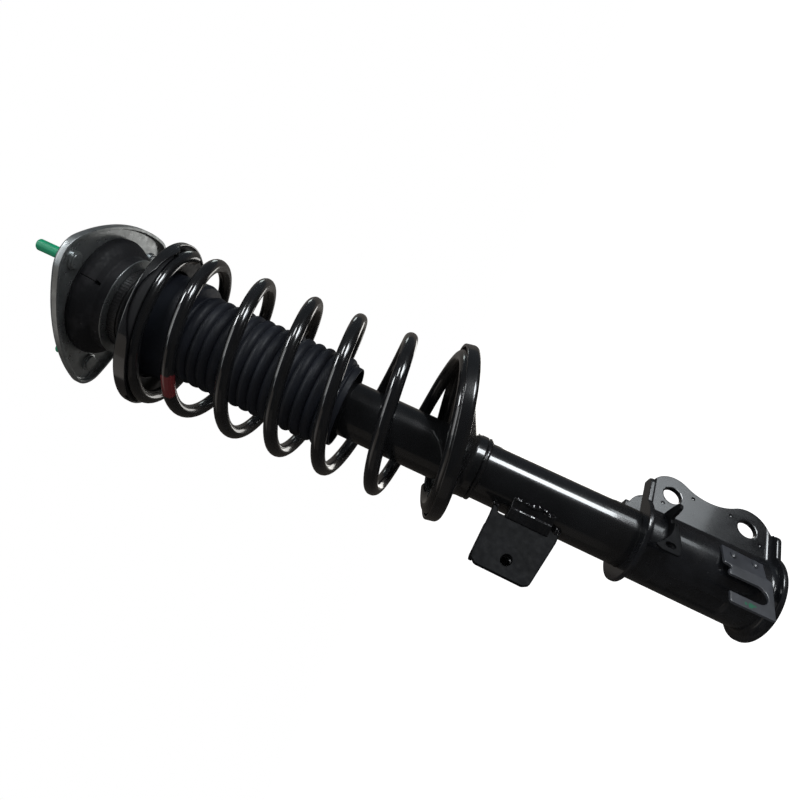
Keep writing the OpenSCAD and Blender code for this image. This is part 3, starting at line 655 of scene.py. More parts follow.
class StrutColours(bpy.types.PropertyGroup):
    """Linear colours of the finishes."""
    paint: colour("Paint", "Gloss black of tube, spring and seats", (0.0055, 0.0058, 0.0066))
    bracket: colour("Brackets", "Satin slate of the brackets", (0.012, 0.013, 0.0155))
    zinc: colour("Zinc", "Plated sheet of the top mount", (0.46, 0.485, 0.49))
    rubber: colour("Rubber", "Rubber body of the top mount", (0.0085, 0.0088, 0.0108))
    boot: colour("Boot", "Rubber of the dust boot", (0.0085, 0.0105, 0.0165))
    sleeve: colour("Sleeves", "Thread protectors on the studs", (0.0, 0.33, 0.155))
    mark: colour("Paint mark", "Mark on the spring wire", (0.11, 0.012, 0.014))


def settings(context):
    s = context.scene
    return s.strut_sizes, finishes(s.strut_colours)


# ---------- top mount
STUDS = 3
CUP_TOP, ROD_END = -31, -332
BALL_RING, BALL_Z, BALL_R, BALLS = 33, -38.75, 2.5, 18
RACE_RIBS = 80


def plate_radius(a, s, clock):
    """Distance from the axis to the plate's outline, drawn s inside it, in the direction a."""
    centre, corner, half = 64.0, 28.0, 70.0
    m = half - corner
    p = (centre * centre - m * m) / (2 * m - centre)
    d = abs((a - clock + 60) % 120 - 60)
    # the corner's arc runs into the bulging side where both point the same way
    meet = math.degrees(math.atan2(p * sin(60), centre + p * cos(60)))
    x, y = centre + (corner - s) * cos(meet), (corner - s) * sin(meet)
    if d <= math.degrees(math.atan2(y, x)):
        return centre * cos(d) + math.sqrt((corner - s) ** 2 - (centre * sin(d)) ** 2)
    side, e = half + p - s, 60 - d
    return -p * cos(e) + math.sqrt(side * side - (p * sin(e)) ** 2)


class STRUT_OT_mount_plate(bpy.types.Operator):
    """Pressed plate of the top mount, with its rim and dome"""
    bl_idname = "strut.mount_plate"
    bl_label = "Mount plate"

    def execute(self, context):
        size, mats = settings(context)
        # o is a distance inside the plate's outline, c a plain radius; the last number is the easing
        stations = [("o", 0, -8, 0.5), ("o", 0, 0, 3.4), ("c", 50.0, 0, 3.0), ("c", 40.0, 9, 2.5),
                    ("c", 23, 9, 0.8), ("c", 23, 6, 0.8), ("c", 38.6, 6, 1.5), ("c", 48.6, -3, 2.0),
                    ("o", 3, -3, 1.8), ("o", 3, -8, 0.5)]

        def outline(a):
            return [polar(value if kind == "c" else plate_radius(a, value, size.mount_clock), a, z)
                    for kind, value, z, _ in stations]

        plate = spun("Mount_plate", outline, [s[3] for s in stations], 240, 5)
        place_on(plate, "top_mount", "zinc", mats)
        return {"FINISHED"}


class STRUT_OT_studs(bpy.types.Operator):
    """Studs pressed into the plate, with their green thread protectors"""
    bl_idname = "strut.studs"
    bl_label = "Studs and sleeves"

    def execute(self, context):
        size, mats = settings(context)
        stud = ([(0, -7.2), (6.9, -7.2), (7.2, -5.4), (8.5, -5.1), (8.5, -3), (4.3, -3), (4.3, 0), (4, 0.3),
                 (4, 9), (3.6, 9.4), (3.6, 30.4), (3.0, 31), (0, 31)],
                [0, 0.7, 0.2, 0.4, 0.1, 0.1, 0.1, 0.1, 0.1, 0.1, 0.2, 0.2, 0])
        sleeve = ([(3.6, 9), (5.1, 9), (5.1, 31.3), (4.3, 32.5), (2.6, 32.5), (2.2, 31.9), (0, 31.9),
                   (0, 31.1), (3.6, 31.1)], [0.2, 0.4, 0.5, 0.4, 0.2, 0.2, 0, 0, 0.1])
        for name, slot, section in (("Mount_studs", "zinc", stud), ("Stud_sleeves", "sleeve_green", sleeve)):
            one = placed(turned("one", *section, sides=48), (size.stud_circle, 0, 0))
            three = repeated(name, one, STUDS, 360 / STUDS, size.mount_clock, material=mats[slot])
            place_on(three, "top_mount", slot, mats)
        return {"FINISHED"}


class STRUT_OT_mount_rubber(bpy.types.Operator):
    """Rubber body of the top mount with its slits, and the steel cup under it"""
    bl_idname = "strut.mount_rubber"
    bl_label = "Mount rubber"

    def execute(self, context):
        size, mats = settings(context)
        body = turned("Mount_rubber", [(14, -30), (42.9, -30), (42.9, -21.9), (45.6, -21.9), (45.6, -31.2),
                                       (46.4, -31.2), (46.6, -22.6), (52, -18), (56, -13), (58, -7.5),
                                       (56.6, -3.1), (48.6, -3.1), (38.6, 5.9), (23, 5.9), (17, 4), (14, 4)],
                      [0.3, 0.4, 0.4, 0.3, 0.2, 0.5, 3, 8, 8, 6, 0.5, 0.5, 1, 1, 1, 0.5], sides=240, steps=6)
        # a long thin slit and a short wedge under it, near each stud
        slit = ([(46.8, -0.35), (70, -0.35), (70, 0.35), (46.8, 0.35)], 13.5, -13.2)
        wedge = ([(45.2, -0.5), (52, -2.4), (52, 2.4), (45.2, 0.5)], 3.6, -20.2)
        cutters = [sheet_piece("cutter", [loop], thick, 0.01,
                               lambda u, v, w: (*spin(u, v, size.mount_clock - 5 + 360 / STUDS * i), z + w))
                   for i in range(STUDS) for loop, thick, z in (slit, wedge)]
        cut_out(body, cutters)
        place_on(body, "top_mount", "mount_rubber", mats)
        turned_on(mats, "top_mount", "zinc", "Mount_cup",
                  [(43, -22), (45.5, -22), (45.5, -31.3), (46.8, -31.3), (46.8, -32.5), (34, -32.5),
                   (34, -30), (43, -30)], [0.8, 0.8, 0.2, 0.5, 0.6, 0.6, 0.4, 0.6], sides=192, steps=5)
        return {"FINISHED"}


class STRUT_OT_rod(bpy.types.Operator):
    """Piston rod with its thread, sleeve, washer, nut and bump stopper"""
    bl_idname = "strut.rod"
    bl_label = "Rod and its stack"

    def execute(self, context):
        _, mats = settings(context)
        sides, start, pitch, depth = 64, 20, 1.5, 0.55
        rings = [circle(r, z, sides) for r, z in (
            (6, ROD_END), (6, -298), (11, -298), (11, -33.5), (7, -33.5), (7, start - 0.1))]
        # the thread's groove climbs with the angle, and the rod's end tapers
        for z in (start + 0.125 * i for i in range(41)):
            ring = []
            for k in range(sides):
                turn = (z / pitch - k / sides) % 1
                dip = depth * (1 - abs(2 * turn - 1)) * smoothstep((z - start) / 0.5)
                dip += smoothstep((z - 24.4) / 0.6) * 0.5
                ring.append(polar(7 - min(dip, 0.95), 360 * k / sides, z))
            rings.append(ring)
        rings += [circle(r, z, sides) for r, z in ((5.8, 25.8), (5.2, 26), (2.2, 26), (1.6, 24.2),
                                                   (0.01, 23.6))]
        place_on(lofted("Piston_rod", rings, 28, caps=True), "top_mount", "rod_chrome", mats)
        turned_on(mats, "top_mount", "zinc", "Mount_sleeve",
                  [(7.1, CUP_TOP), (14, CUP_TOP), (14, 6), (7.1, 6)], 0.5)
        turned_on(mats, "top_mount", "zinc", "Mount_washer", [(7.1, 6), (20, 6), (20, 9), (7.1, 9)],
                  [0.2, 0.6, 1.0, 0.4])
        place_on(hex_nut("Rod_nut", 22, 7, 9, 21), "top_mount", "zinc", mats)
        turned_on(mats, "top_mount", "zinc", "Stopper_cup",
                  [(7, -33.5), (7, CUP_TOP), (24.5, CUP_TOP), (24.5, -46), (21.9, -46), (21.9, -33.5)],
                  [0.1, 0.1, 2.2, 0.8, 0.6, 0.8])
        z0, r = -33.5, 21.9
        foam = [(11, z0), (r, z0), (r, z0 - 18), (r - 3.5, z0 - 22), (r, z0 - 27), (r, z0 - 34),
                (r - 4, z0 - 38), (r - 1, z0 - 43), (r - 1, z0 - 50), (r - 5, z0 - 54), (r - 3, z0 - 59),
                (r - 4, z0 - 68), (r - 7, z0 - 75), (11, z0 - 75)]
        stop = turned_on(mats, "top_mount", "foam", "Bump_stopper", foam,
                         [0.2, 0.4, 2.5, 2.2, 2.5, 2.5, 2.2, 2.5, 2.5, 2.2, 2.5, 3, 1.5, 0.5], steps=5)
        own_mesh(stop)
        return {"FINISHED"}


def hex_nut(name, flats, bore, z0, z1, place=None, blind=False):
    """A hexagon nut with its corners turned off and its thread's mouth opened, or closed at its far end."""
    sides = 96
    edge = flats / 2
    far = edge / cos(30)
    drop = (far - edge) * 0.6
    angles = [360 * k / sides for k in range(sides)]
    rings = []
    for z, cap in ((z0, edge - 0.3), (z0 + 0.25, edge + 0.2), (z0 + drop, far + 1), (z1 - drop, far + 1),
                   (z1 - 0.25, edge + 0.2), (z1, edge - 0.3)):
        rings.append([polar(min(edge / cos((a + 30) % 60 - 30), cap), a, z) for a in angles])
    top = [(0, z1), (0, z1 - 1.5), (bore, z1 - 1.5)] if blind else [(bore + 0.9, z1), (bore, z1 - 0.9)]
    rings += [circle(r, z, sides) for r, z in top + [(bore, z0 + 0.9), (bore + 0.9, z0)]]
    if place:
        rings = [[place(*p) for p in ring] for ring in rings]
    return lofted(name, rings, 25, closed=True)


class STRUT_OT_bearing(bpy.types.Operator):
    """Ribbed upper race, lower race and balls of the swivel bearing"""
    bl_idname = "strut.bearing"
    bl_label = "Swivel bearing"

    def execute(self, context):
        _, mats = settings(context)
        race = turned("race", [(28, -37.5), (28, -32.5), (38.4, -32.5), (38.4, -41.5), (37.6, -41.5),
                               (37.6, -37.5), (35.6, -37.5), (34.8, -36.6), (33, -36), (31.2, -36.6),
                               (30.4, -37.5)],
                      [0.3, 0.6, 0.9, 0.3, 0.3, 0.2, 0.2, 0.3, 0.5, 0.3, 0.2], sides=144)
        rib = sheet_piece("rib", [[(-0.5, -41.2), (0.5, -41.2), (0.5, -33.4), (-0.5, -33.4)]], 0.8, 0.3,
                          lambda u, v, w: (38.4 + w, u, v))
        race = joined("Upper_race", [race, repeated("ribs", rib, RACE_RIBS, 360 / RACE_RIBS)])
        place_on(race, "top_mount", "race_plastic", mats)
        turned_on(mats, "upper_seat", "race_plastic", "Lower_race",
                  [(28, -45), (37.2, -45), (37.2, -40), (35.6, -40), (34.9, -41), (33, -41.6), (31.1, -41),
                   (30.4, -40), (28, -40)], [0.4, 0.5, 0.3, 0.2, 0.3, 0.5, 0.3, 0.2, 0.3], sides=144)
        half = [(BALL_R * sin(a) if 0 < a < 180 else 0, BALL_Z - BALL_R * cos(a)) for a in range(0, 181, 12)]
        ball = placed(turned("ball", half, -1, sides=32, angle=60), (BALL_RING, 0, 0))
        balls = repeated("Bearing_balls", ball, BALLS, 360 / BALLS, material=mats["steel"], angle=60)
        place_on(balls, "ball_cage", "steel", mats)
        return {"FINISHED"}


# ---------- spring seats and boot
# depth of the upper seat's rim against the angle about the axis
RIM_DEPTH = [(0, -74.4), (150, -74.4), (168, -74.8), (173, -79.4), (194, -80.6), (209, -80.6), (217, -79.6),
             (223, -76.4), (231, -73.0), (238, -71.6), (247, -71.0), (253, -72.0), (260, -74.2), (266, -76.8),
             (272, -77.4), (280, -79.2), (287, -80.5), (292, -80.6), (296, -75.0), (300, -74.4), (360, -74.4)]


def leaned(x, y, z, w):
    """Leans the upper seat's outer part by about five degrees; w is the share of it that a point takes."""
    return (x - 2.5 * w, y, z + w * (0.085 * x + 3.0))


def lean(ob, share=lambda r, z: 1):
    """Leans a piece of the seat, with the share of each point from its radius and height."""
    for v in ob.data.vertices:
        x, y, z = v.co / MM
        v.co = Vector(leaned(x, y, z, share(math.hypot(x, y), z))) * MM
    return ob


class STRUT_OT_upper_seat(bpy.types.Operator):
    """Pressed upper spring seat and the rubber pad that holds the first coil"""
    bl_idname = "strut.upper_seat"
    bl_label = "Upper spring seat"

    def execute(self, context):
        _, mats = settings(context)
        seat = turned("Upper_spring_seat", [(29, -45), (40.5, -45), (57, -64), (67, -65), (76.6, -69.6),
                                            (76.6, -71.6), (67, -67.6), (56, -66.4), (39.5, -47.5),
                                            (29, -47.5)],
                      [0.4, 2.5, 3, 5, 0.8, 0.6, 3, 1.5, 1.5, 0.4], sides=192)
        lean(seat, lambda r, z: smoothstep((r - 41) / 15))
        place_on(seat, "upper_seat", "black_paint", mats)

        def skirt(a):
            """The pressed rim, which hangs lower in two places."""
            low = table(a, RIM_DEPTH)
            return [polar(r, a, z) for r, z in (
                (76.7, -69.2), (77.2, -68.4), (78.1, -69.6), (78.1, low), (76.7, low))]

        rim = lean(spun("Seat_rim", skirt, [0.3, 0.8, 1.2, 0.5, 0.4], 300, 3))
        place_on(rim, "upper_seat", "black_paint", mats, node="spring_insulator")

        def section(a):
            """The pad, whose lip hangs lower over a part of the ring only."""
            w = smoothstep((a - 150) / 7) * smoothstep((290 - a) / 7)
            low = -74.9 - 5.5 * w
            return [polar(r, a, z) for r, z in (
                (62, -67.2), (67, -68), (76.5, -71.9), (76.5, low + 0.6), (75.3 + w, low), (75.1, low),
                (75.1, -73.7), (52, -73.7), (52, -68.6), (60.1, -68.6), (60.1, -67))]

        pad = lean(spun("Spring_pad", section, [0.3, 0.3, 0.3, 1.0, 0.5, 0.3, 0.4, 1.0, 1.0, 0.3, 0.3], 240,
                        3))
        place_on(pad, "upper_seat", "seat_rubber", mats, node="spring_insulator")
        return {"FINISHED"}


class STRUT_OT_boot(bpy.types.Operator):
    """Ribbed dust boot with its plain cup and end"""
    bl_idname = "strut.boot"
    bl_label = "Dust boot"

    def execute(self, context):
        size, mats = settings(context)
        r, ribs = size.boot_r, size.boot_ribs
        start, end, top, wall, deep = -106.4, -252.0, -66.5, 1.8, 3.2
        pitch = (start - end) / ribs
        steps = 14
        root = r - deep

        def band(points):
            return lofted("band", [circle(q, z, 128) for q, z in points], 60)

        walls = [band([(r - over - deep * abs(2 * i / steps - 1) ** 2.4, start - pitch * i / steps)
                       for i in range(steps + 1)]) for over in (0, wall)]
        stack = repeated("ribs", joined("rib", walls), ribs, step=(0, 0, -pitch), angle=60)
        head = eased([(root, start), (root, start + 2.6), (48.5, start + 4.4), (50, start + 8), (50, top - 2),
                      (59.9, top - 2), (59.9, top), (47.5, top), (47.5, start + 8), (46, start + 6.4),
                      (root - wall, start + 4.2), (root - wall, start)],
                     [-1, 1, 1.2, 2.5, 1.5, 0.6, 0.4, 1, 1.5, 1, 1, -1])
        tail = eased([(root, end), (root + 0.2, end - 1.2), (37.8, end - 2.6), (37.4, -259.5), (35.4, -259.5),
                      (35.9, end - 2), (root - wall, end)], [-1, 0.3, 0.5, 0.9, 0.6, 0.5, -1])
        boot = joined("Dust_boot", [stack, band(head), band(tail)])
        lean(boot, lambda r, z: smoothstep((z + 102) / 26))
        close_up(boot, 60, 1e-5)
        place_on(boot, "upper_seat", "boot_rubber", mats)
        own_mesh(boot)
        return {"FINISHED"}


# height of the wire's centre and sideways lean of the coil against the turn count from the upper end
COIL_Z = [(0, -80.2), (0.25, -80.6), (0.5, -82.5), (0.75, -87.5), (1, -96.4), (1.25, -112.2), (1.5, -123.8),
          (1.75, -132.5), (2, -145), (2.25, -162.2), (2.5, -174.6), (2.75, -182.2), (3, -193.4),
          (3.25, -208.4), (3.5, -220.4), (3.75, -227.8), (4, -236.9), (4.25, -250.4), (4.5, -264.6),
          (4.75, -275), (5, -284.8), (5.25, -298.4), (5.5, -312.3), (5.75, -321.5), (6, -331), (6.25, -350)]
COIL_LEAN = [(0, 0), (0.8, 0.6), (2.25, 3.6), (3.25, 6.8), (4.25, 9.8), (5.25, 13), (6, 16.4), (6.7, 17.5)]
SEAT_OFFSET, SEAT_TILT, SEAT_CLOCK, SEAT_Z = 19.2, 12.5, -12.0, -345.7


def seat_point(x, y, z):
    """A point of the tilted lower seat, given in the seat's own frame."""
    x, z = spin(x, z, SEAT_TILT)
    return (*spin(SEAT_OFFSET + x, y, SEAT_CLOCK), SEAT_Z + z)


def coil_point(t, size):
    """The wire's centre at a turn count: it leans with the upper seat, runs free, then lies on the lower."""
    a = -34.5 - 360 * t
    side = table(t, COIL_LEAN)
    near = ((0.06, -0.12), (0.24, -0.07), (0.4, 0), (0.24, 0.07), (0.06, 0.12))
    z = sum(k * table(t + d, COIL_Z) for k, d in near)
    free = (size.coil_r * cos(a) + side * cos(SEAT_CLOCK), size.coil_r * sin(a) + side * sin(SEAT_CLOCK), z)
    free = Vector(leaned(*free, 1 - smoothstep((t - 0.45) / 0.55)))
    r = size.coil_r + 0.4
    seated = Vector(seat_point(r * cos(a - SEAT_CLOCK), r * sin(a - SEAT_CLOCK), size.wire_d / 2 + 0.4 - 9))
    w = smoothstep((t - 5.85) / 0.3)
    return free * (1 - w) + seated * w


class STRUT_OT_spring(bpy.types.Operator):
    """Coil spring between its two seats"""
    bl_idname = "strut.spring"
    bl_label = "Coil spring"

    def execute(self, context):
        size, mats = settings(context)
        first, last, steps, sides = 0.02, size.coil_turns, 420, 28
        turns = [first + (last - first) * i / steps for i in range(steps + 1)]
        path = [coil_point(t, size) * MM for t in turns]
        mesh = bpy.data.meshes.new("Coil_spring")
        mesh.from_pydata(path, [(i, i + 1) for i in range(steps)], [])
        coil = linked("Coil_spring", mesh)
        grown(coil, tree_wire(), radius=size.wire_d / 2 * MM, sides=sides, material=mats["spring_paint"])
        close_up(coil, 40)
        # turn count of every point, for the paint mark
        tree = KDTree(len(path))
        for i, p in enumerate(path):
            tree.insert(p, i)
        tree.balance()
        found = [turns[tree.find(v.co)[1]] for v in coil.data.vertices]
        coil.data.attributes.new("turn", "FLOAT", "POINT").data.foreach_set("value", found)
        dress(coil, "spring_paint", mats)
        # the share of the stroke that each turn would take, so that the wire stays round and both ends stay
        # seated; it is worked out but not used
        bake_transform(coil)
        along = [min(1.0, max(0.0, (t - 0.55) / 5.6)) for t in found]
        share = [smoothstep(u) * 0.35 + u * 0.65 for u in along]
        return {"FINISHED"}


# ---------- tube
TUBE_TOP, TUBE_FOOT, TUBE_WALL = -232, -619.5, 2.5


class STRUT_OT_tube(bpy.types.Operator):
    """Damper tube with its cap, foot and lower spring seat"""
    bl_idname = "strut.tube"
    bl_label = "Tube and lower seat"

    def execute(self, context):
        size, mats = settings(context)
        r, ri, top, foot = size.tube_r, size.tube_r - TUBE_WALL, TUBE_TOP, TUBE_FOOT
        for name, slot, outline, radii, sides in (
                ("Strut_tube", "black_paint", [(ri, foot), (r, foot), (r, top), (ri, top)],
                 [0.2, 0.9, 0.6, 0.3], 192),
                ("Tube_cap", "black_paint",
                 [(12, top), (12, top + 4), (r + 2, top + 4), (r + 2, top - 11), (r, top - 11), (r, top)],
                 [0.3, 1.2, 2.2, 0.7, 0.1, 0.1], 128),
                ("Base_cup", "black_paint",
                 [(0, foot + 5), (ri, foot + 5), (ri, foot), (ri - 2, foot - 1), (ri - 6, foot - 2),
                  (0, foot - 2)], [0, 0.1, 0.6, 1, 3, 0], 96),
                ("Rod_seal", "seat_rubber",
                 [(11.05, top), (ri, top), (ri, top - 6), (12.2, top - 6), (12.2, top - 4.2),
                  (11.05, top - 3.4)], [0.3, 0.4, 0.4, 0.4, 0.3, 0.2], 96)):
            turned_on(mats, "strut_body", slot, name, outline, radii, sides=sides)

        def section(a):
            """The seat's neck on the tube, and its tilted dish."""
            neck = [polar(q, a + SEAT_CLOCK, z) for q, z in (
                (28.5, -384), (28.5, -374.5), (r + 0.05, -371.5), (r + 0.05, -384))]
            dish = [seat_point(q * cos(a), q * sin(a), z) for q, z in (
                (61, -12), (79.5, -12), (79.5, 0), (76.5, 0), (76.5, -9), (58, -9))]
            return neck[:2] + dish + neck[2:]

        seat = spun("Lower_spring_seat", section, [0.7, 6, 7, 4.2, 1.3, 1.2, 3, 4, 2.5, 0.2], 240, 6)
        place_on(seat, "strut_body", "black_paint", mats)

        # weld bead round the seat's neck, with its ripples
        rings, around, about = [], 220, 14
        for i in range(around):
            a = 360 * i / around
            ring = []
            for k in range(about):
                x, z = 2.0 * cos(360 * k / about), 2.6 * sin(360 * k / about)
                bumps = noise.noise(Vector(polar(26.6 + x, a, -386.2 + z)) * 0.45)
                grow = 0.92 + 0.22 * (0.55 * bumps + 0.3 * abs(sin(a * 26)))
                ring.append(polar(26.6 + x * grow, a, -386.2 + z * grow * 0.98))
            rings.append(ring)
        weld = lofted("Seat_weld", rings, 50, closed=True)
        place_on(weld, "strut_body", "black_paint", mats)
        return {"FINISHED"}


# ---------- knuckle bracket
# the bracket's wall beyond the tube, its ears' inner and outer side, and its turned ends
WRAP, EAR_IN, EAR_OUT = 4.5, 16.0, 21.0
FILLET, FLANGE, FLANGE_OUT, BEND = 9.0, 4.0, 7.5, 3.6
# bolt holes: heights and distance from the axis; the ear's lobe round them, and where it leaves the edge
BOLT_HIGH, BOLT_LOW, BOLT_X, LOBE = Z_BOT + 86.5, Z_BOT + 23.5, 45.0, 19.0
LOBE_X, LOBE_Z = 48, 18.77


def ear_edge():
    """Front edge of an ear: from its top corner over the lobes and the valley to its foot."""
    depth = 9.6
    half = (BOLT_HIGH - BOLT_LOW) / 2
    valley = (depth * depth + half * half - LOBE * LOBE) / (2 * (LOBE - depth))
    vx = BOLT_X + depth + valley
    reach = math.degrees(math.atan2(half, vx - BOLT_X))
    start = math.degrees(math.atan2(LOBE_Z, LOBE_X - BOLT_X)) - 4
    return ([(LOBE_X, Z_BR), (LOBE_X, BOLT_HIGH + LOBE_Z)]
            + arc(BOLT_X, BOLT_HIGH, LOBE, start, -reach, 20)
            + arc(vx, (BOLT_HIGH + BOLT_LOW) / 2, valley, 180 - reach, 180 + reach, 16)[1:-1]
            + arc(BOLT_X, BOLT_LOW, LOBE, reach, -start, 20)
            + [(LOBE_X, BOLT_LOW - LOBE_Z), (LOBE_X, Z_BOT)])


def end_rows(z, way, x, e):
    """Rows of (height, reach, over, ease) from a turned end inwards: its rim, then a round corner in to
    the wall. way is +1 when inwards is up."""
    rows = [(0, x, FLANGE_OUT, e), (e * EASE, x, FLANGE_OUT, e * EASE), (e, x, FLANGE_OUT, 0),
            (FLANGE - e, x, FLANGE_OUT, 0), (FLANGE - e * EASE, x, FLANGE_OUT - e * EASE, 0),
            (FLANGE, x - e * 0.6, FLANGE_OUT - e, 0)]
    rows += [(FLANGE + 0.02 + BEND * (1 - cos(b)), None, BEND * (1 - sin(b)), 0) for b in range(0, 91, 15)]
    return [(z + way * depth, *rest) for depth, *rest in rows]


def wall_rows(edge, low, high):
    """Rows between the two turned ends: each point of the ear's edge, and more at most 3 mm apart."""
    inside = [(z, x, 0, 0) for x, z in edge if low + 0.3 < z < high - 0.3]
    rows = []
    for (za, xa, *_), (zb, xb, *_) in zip(inside, inside[1:]):
        n = int(abs(za - zb) // 3) + 1
        rows += [(za + (zb - za) * i / n, xa + (xb - xa) * i / n, 0, 0) for i in range(n)]
    return rows + inside[-1:]


def bracket_section(tube_r, e):
    """A function that gives the bracket's closed section at a height."""
    r_in, r_out = tube_r + 0.05, tube_r + WRAP
    # the outer side, from the near ear's fillet round the back to the far one, and the inner side
    fx = math.sqrt((r_out + FILLET) ** 2 - (EAR_OUT + FILLET) ** 2)
    a_out = math.degrees(math.atan2(-(EAR_OUT + FILLET), fx))
    near = arc(fx, -(EAR_OUT + FILLET), FILLET, 90, 180 + a_out, 8)
    outer = near + arc(0, 0, r_out, a_out, -360 - a_out, 170)[1:-1] + [(x, -y) for x, y in reversed(near)]
    a_in = math.degrees(math.atan2(-EAR_IN, math.sqrt(r_in * r_in - EAR_IN * EAR_IN)))
    inner = arc(0, 0, r_in, a_in, -360 - a_in, 120)
    lead = 14

    def mirrored(points):
        return [(x, -y) for x, y in reversed(points)]

    def leg(start, end, y):
        return [(start + (end - start) * (1 - i / lead), y) for i in range(1, lead)]

    def dent(x, y, z):
        """Depth of the shallow pressed field on the wrap's side."""
        at = math.degrees(math.atan2(y, x)) % 360
        wide = smoothstep((at - 179) / 2.5) * smoothstep((212 - at) / 2.5)
        return 1.5 * wide * smoothstep((z - (Z_BOT + 30)) / 2.5) * smoothstep((Z_BR - 21.5 - z) / 2.5)

    def row(z, x_end, over, ease):
        """over moves the outer side out, ease draws the whole rim in."""
        y0, y1, x1 = EAR_OUT + over - ease, EAR_IN + ease, x_end - ease
        # the turned ends have a large corner where the ears have only an eased edge
        big = e + (5.6 - e) * smoothstep((over - 3.2) / 2.5)
        corner = arc(x1 - big, y0 - big, big, 90, 0, 5)
        lip = [(x1, y1 + e), (x1 - e * EASE, y1 + e * EASE), (x1 - e, y1)]
        legs, legs_in = leg(near[0][0], x1 - big, y0), leg(inner[0][0], x1 - e, y1)
        out = mirrored(corner) + [(x, -y) for x, y in legs]
        for i, (x, y) in enumerate(outer):
            a, b = outer[max(i - 1, 0)], outer[min(i + 1, len(outer) - 1)]
            n = Vector((a[1] - b[1], b[0] - a[0])).normalized()
            if n.dot(Vector((x, y))) < 0 and abs(x) < 20:
                n.negate()
            by = over - ease - (0 if over else dent(x, y, z))
            out.append((x + n.x * by, y + n.y * by))
        out += list(reversed(legs)) + corner + lip + legs_in
        for i, (x, y) in enumerate(reversed(inner)):
            by = 1 + ease / math.hypot(x, y)
            end = i in (0, len(inner) - 1)
            out.append((x + ease * 0.5, y + math.copysign(ease, y)) if end else (x * by, y * by))
        out += mirrored(legs_in) + mirrored(lip)
        return [(x, y, z) for x, y in out]
    return row


class STRUT_OT_knuckle_bracket(bpy.types.Operator):
    """Clamp bracket bent round the tube, with its two ears, turned ends and bolt holes"""
    bl_idname = "strut.knuckle_bracket"
    bl_label = "Knuckle bracket"

    def execute(self, context):
        size, mats = settings(context)
        e, edge = size.sheet_edge, ear_edge()
        by_height = sorted((z, x) for x, z in edge)
        low, high = end_rows(Z_BOT, 1, 47, e), end_rows(Z_BR, -1, 50, e)
        rows = high + wall_rows(edge, low[-1][0], high[-1][0]) + low[::-1]
        section = bracket_section(size.tube_r, e)
        rings = [section(z, table(z, by_height) if x is None else x, over, ease) for z, x, over, ease in rows]
        bracket = lofted("Knuckle_bracket", rings, 28, caps=True)
        # bolt holes with sunk mouths, then the small dimples of both ears
        half = [(0, -30), (9.5, -30), (8.6, -21.05), (7.75, -20.75), (7.5, -20.1), (7.5, -16.8), (8.2, -15.9),
                (8.4, -15)]
        bolt = half + [(r, -y) for r, y in reversed(half)]
        cutters = [placed(turned("bolt", bolt, -1, sides=72), (BOLT_X, 0, z), Matrix.Rotation(PI / 2, 4, "X"))
                   for z in (BOLT_HIGH, BOLT_LOW)]
        for x, z in ((51, -558), (51, -590), (34, -534), (35, -615)):
            for s in (-1, 1):
                dimple = turned("dimple", [(0, -1.5), (1.1, -1.2), (1.7, 0), (2.0, 1.2), (0, 1.2)], -1,
                                sides=20)
                placed(dimple, (x, s * EAR_OUT, z), Matrix.Rotation(-s * PI / 2, 4, "X"))
                cutters.append(close_up(dimple))
        cut_out(bracket, cutters, 28)
        place_on(bracket, "strut_body", "bracket_paint", mats)
        return {"FINISHED"}


# ---------- small brackets
SHEET, SHEET_EDGE = 2.6, 0.6
# link plate: its top, foot and far end, its near face and the middle of its hole
LINK_TOP, LINK_FOOT, LINK_END, LINK_Y, LINK_HOLE = -404.0, -466.0, -84.0, -4.0, (-69.7, -431.2)


def wire_holder():
    """A forked wall square to the tube and a plate that hangs from its edge."""
    z = Z_BOT + 87.5
    wall = eased([(-8, -27.5), (-8, -38.4), (4, -38.6), (8, -38.6), (8.2, -35), (10, -31.6), (14, -31.4),
                  (16, -34.5), (16.4, -38.5), (18.4, -43.4), (21.5, -43.4), (24.4, -41), (26, -32),
                  (26.5, -20.6), (14, -25), (4, -28)],
                 [1, 0.5, 1, 1.2, 1.5, 2, 2, 2, 3, 1, 1.2, 1.5, 3, 1, 2, 3], 4)
    wall = sheet_piece("wall", [wall], SHEET, SHEET_EDGE, lambda u, v, w: (u, v, z + 1.3 + w))
    plate = eased([(-18.6, z + 13.6), (-21, z + 9), (-20.8, z - 4.6), (-14.6, z - 5.8), (-4, z - 3.6),
                   (0, z - 2.2), (6.4, z - 0.6), (6.6, z + 2.5), (1.4, z + 2.4), (-5.4, z + 4.4),
                   (-11.6, z + 8), (-15.4, z + 11.4), (-16.4, z + 13.8)],
                  [1, 2, 2.2, 2, 3, 2, 1, 0.8, 4, 6, 5, 2, 0.8], 5)
    hole = [(-14.6 + x, z + 3 + y) for x, y in arc(0, 1.6, 2.4, 0, 180, 12) + arc(0, -1.6, 2.4, 180, 360, 12)]
    plate = sheet_piece("plate", [plate, hole], SHEET, SHEET_EDGE, lambda u, v, w: (u, -37.3 + w, v))
    return joined("Wire_holder", [wall, plate])


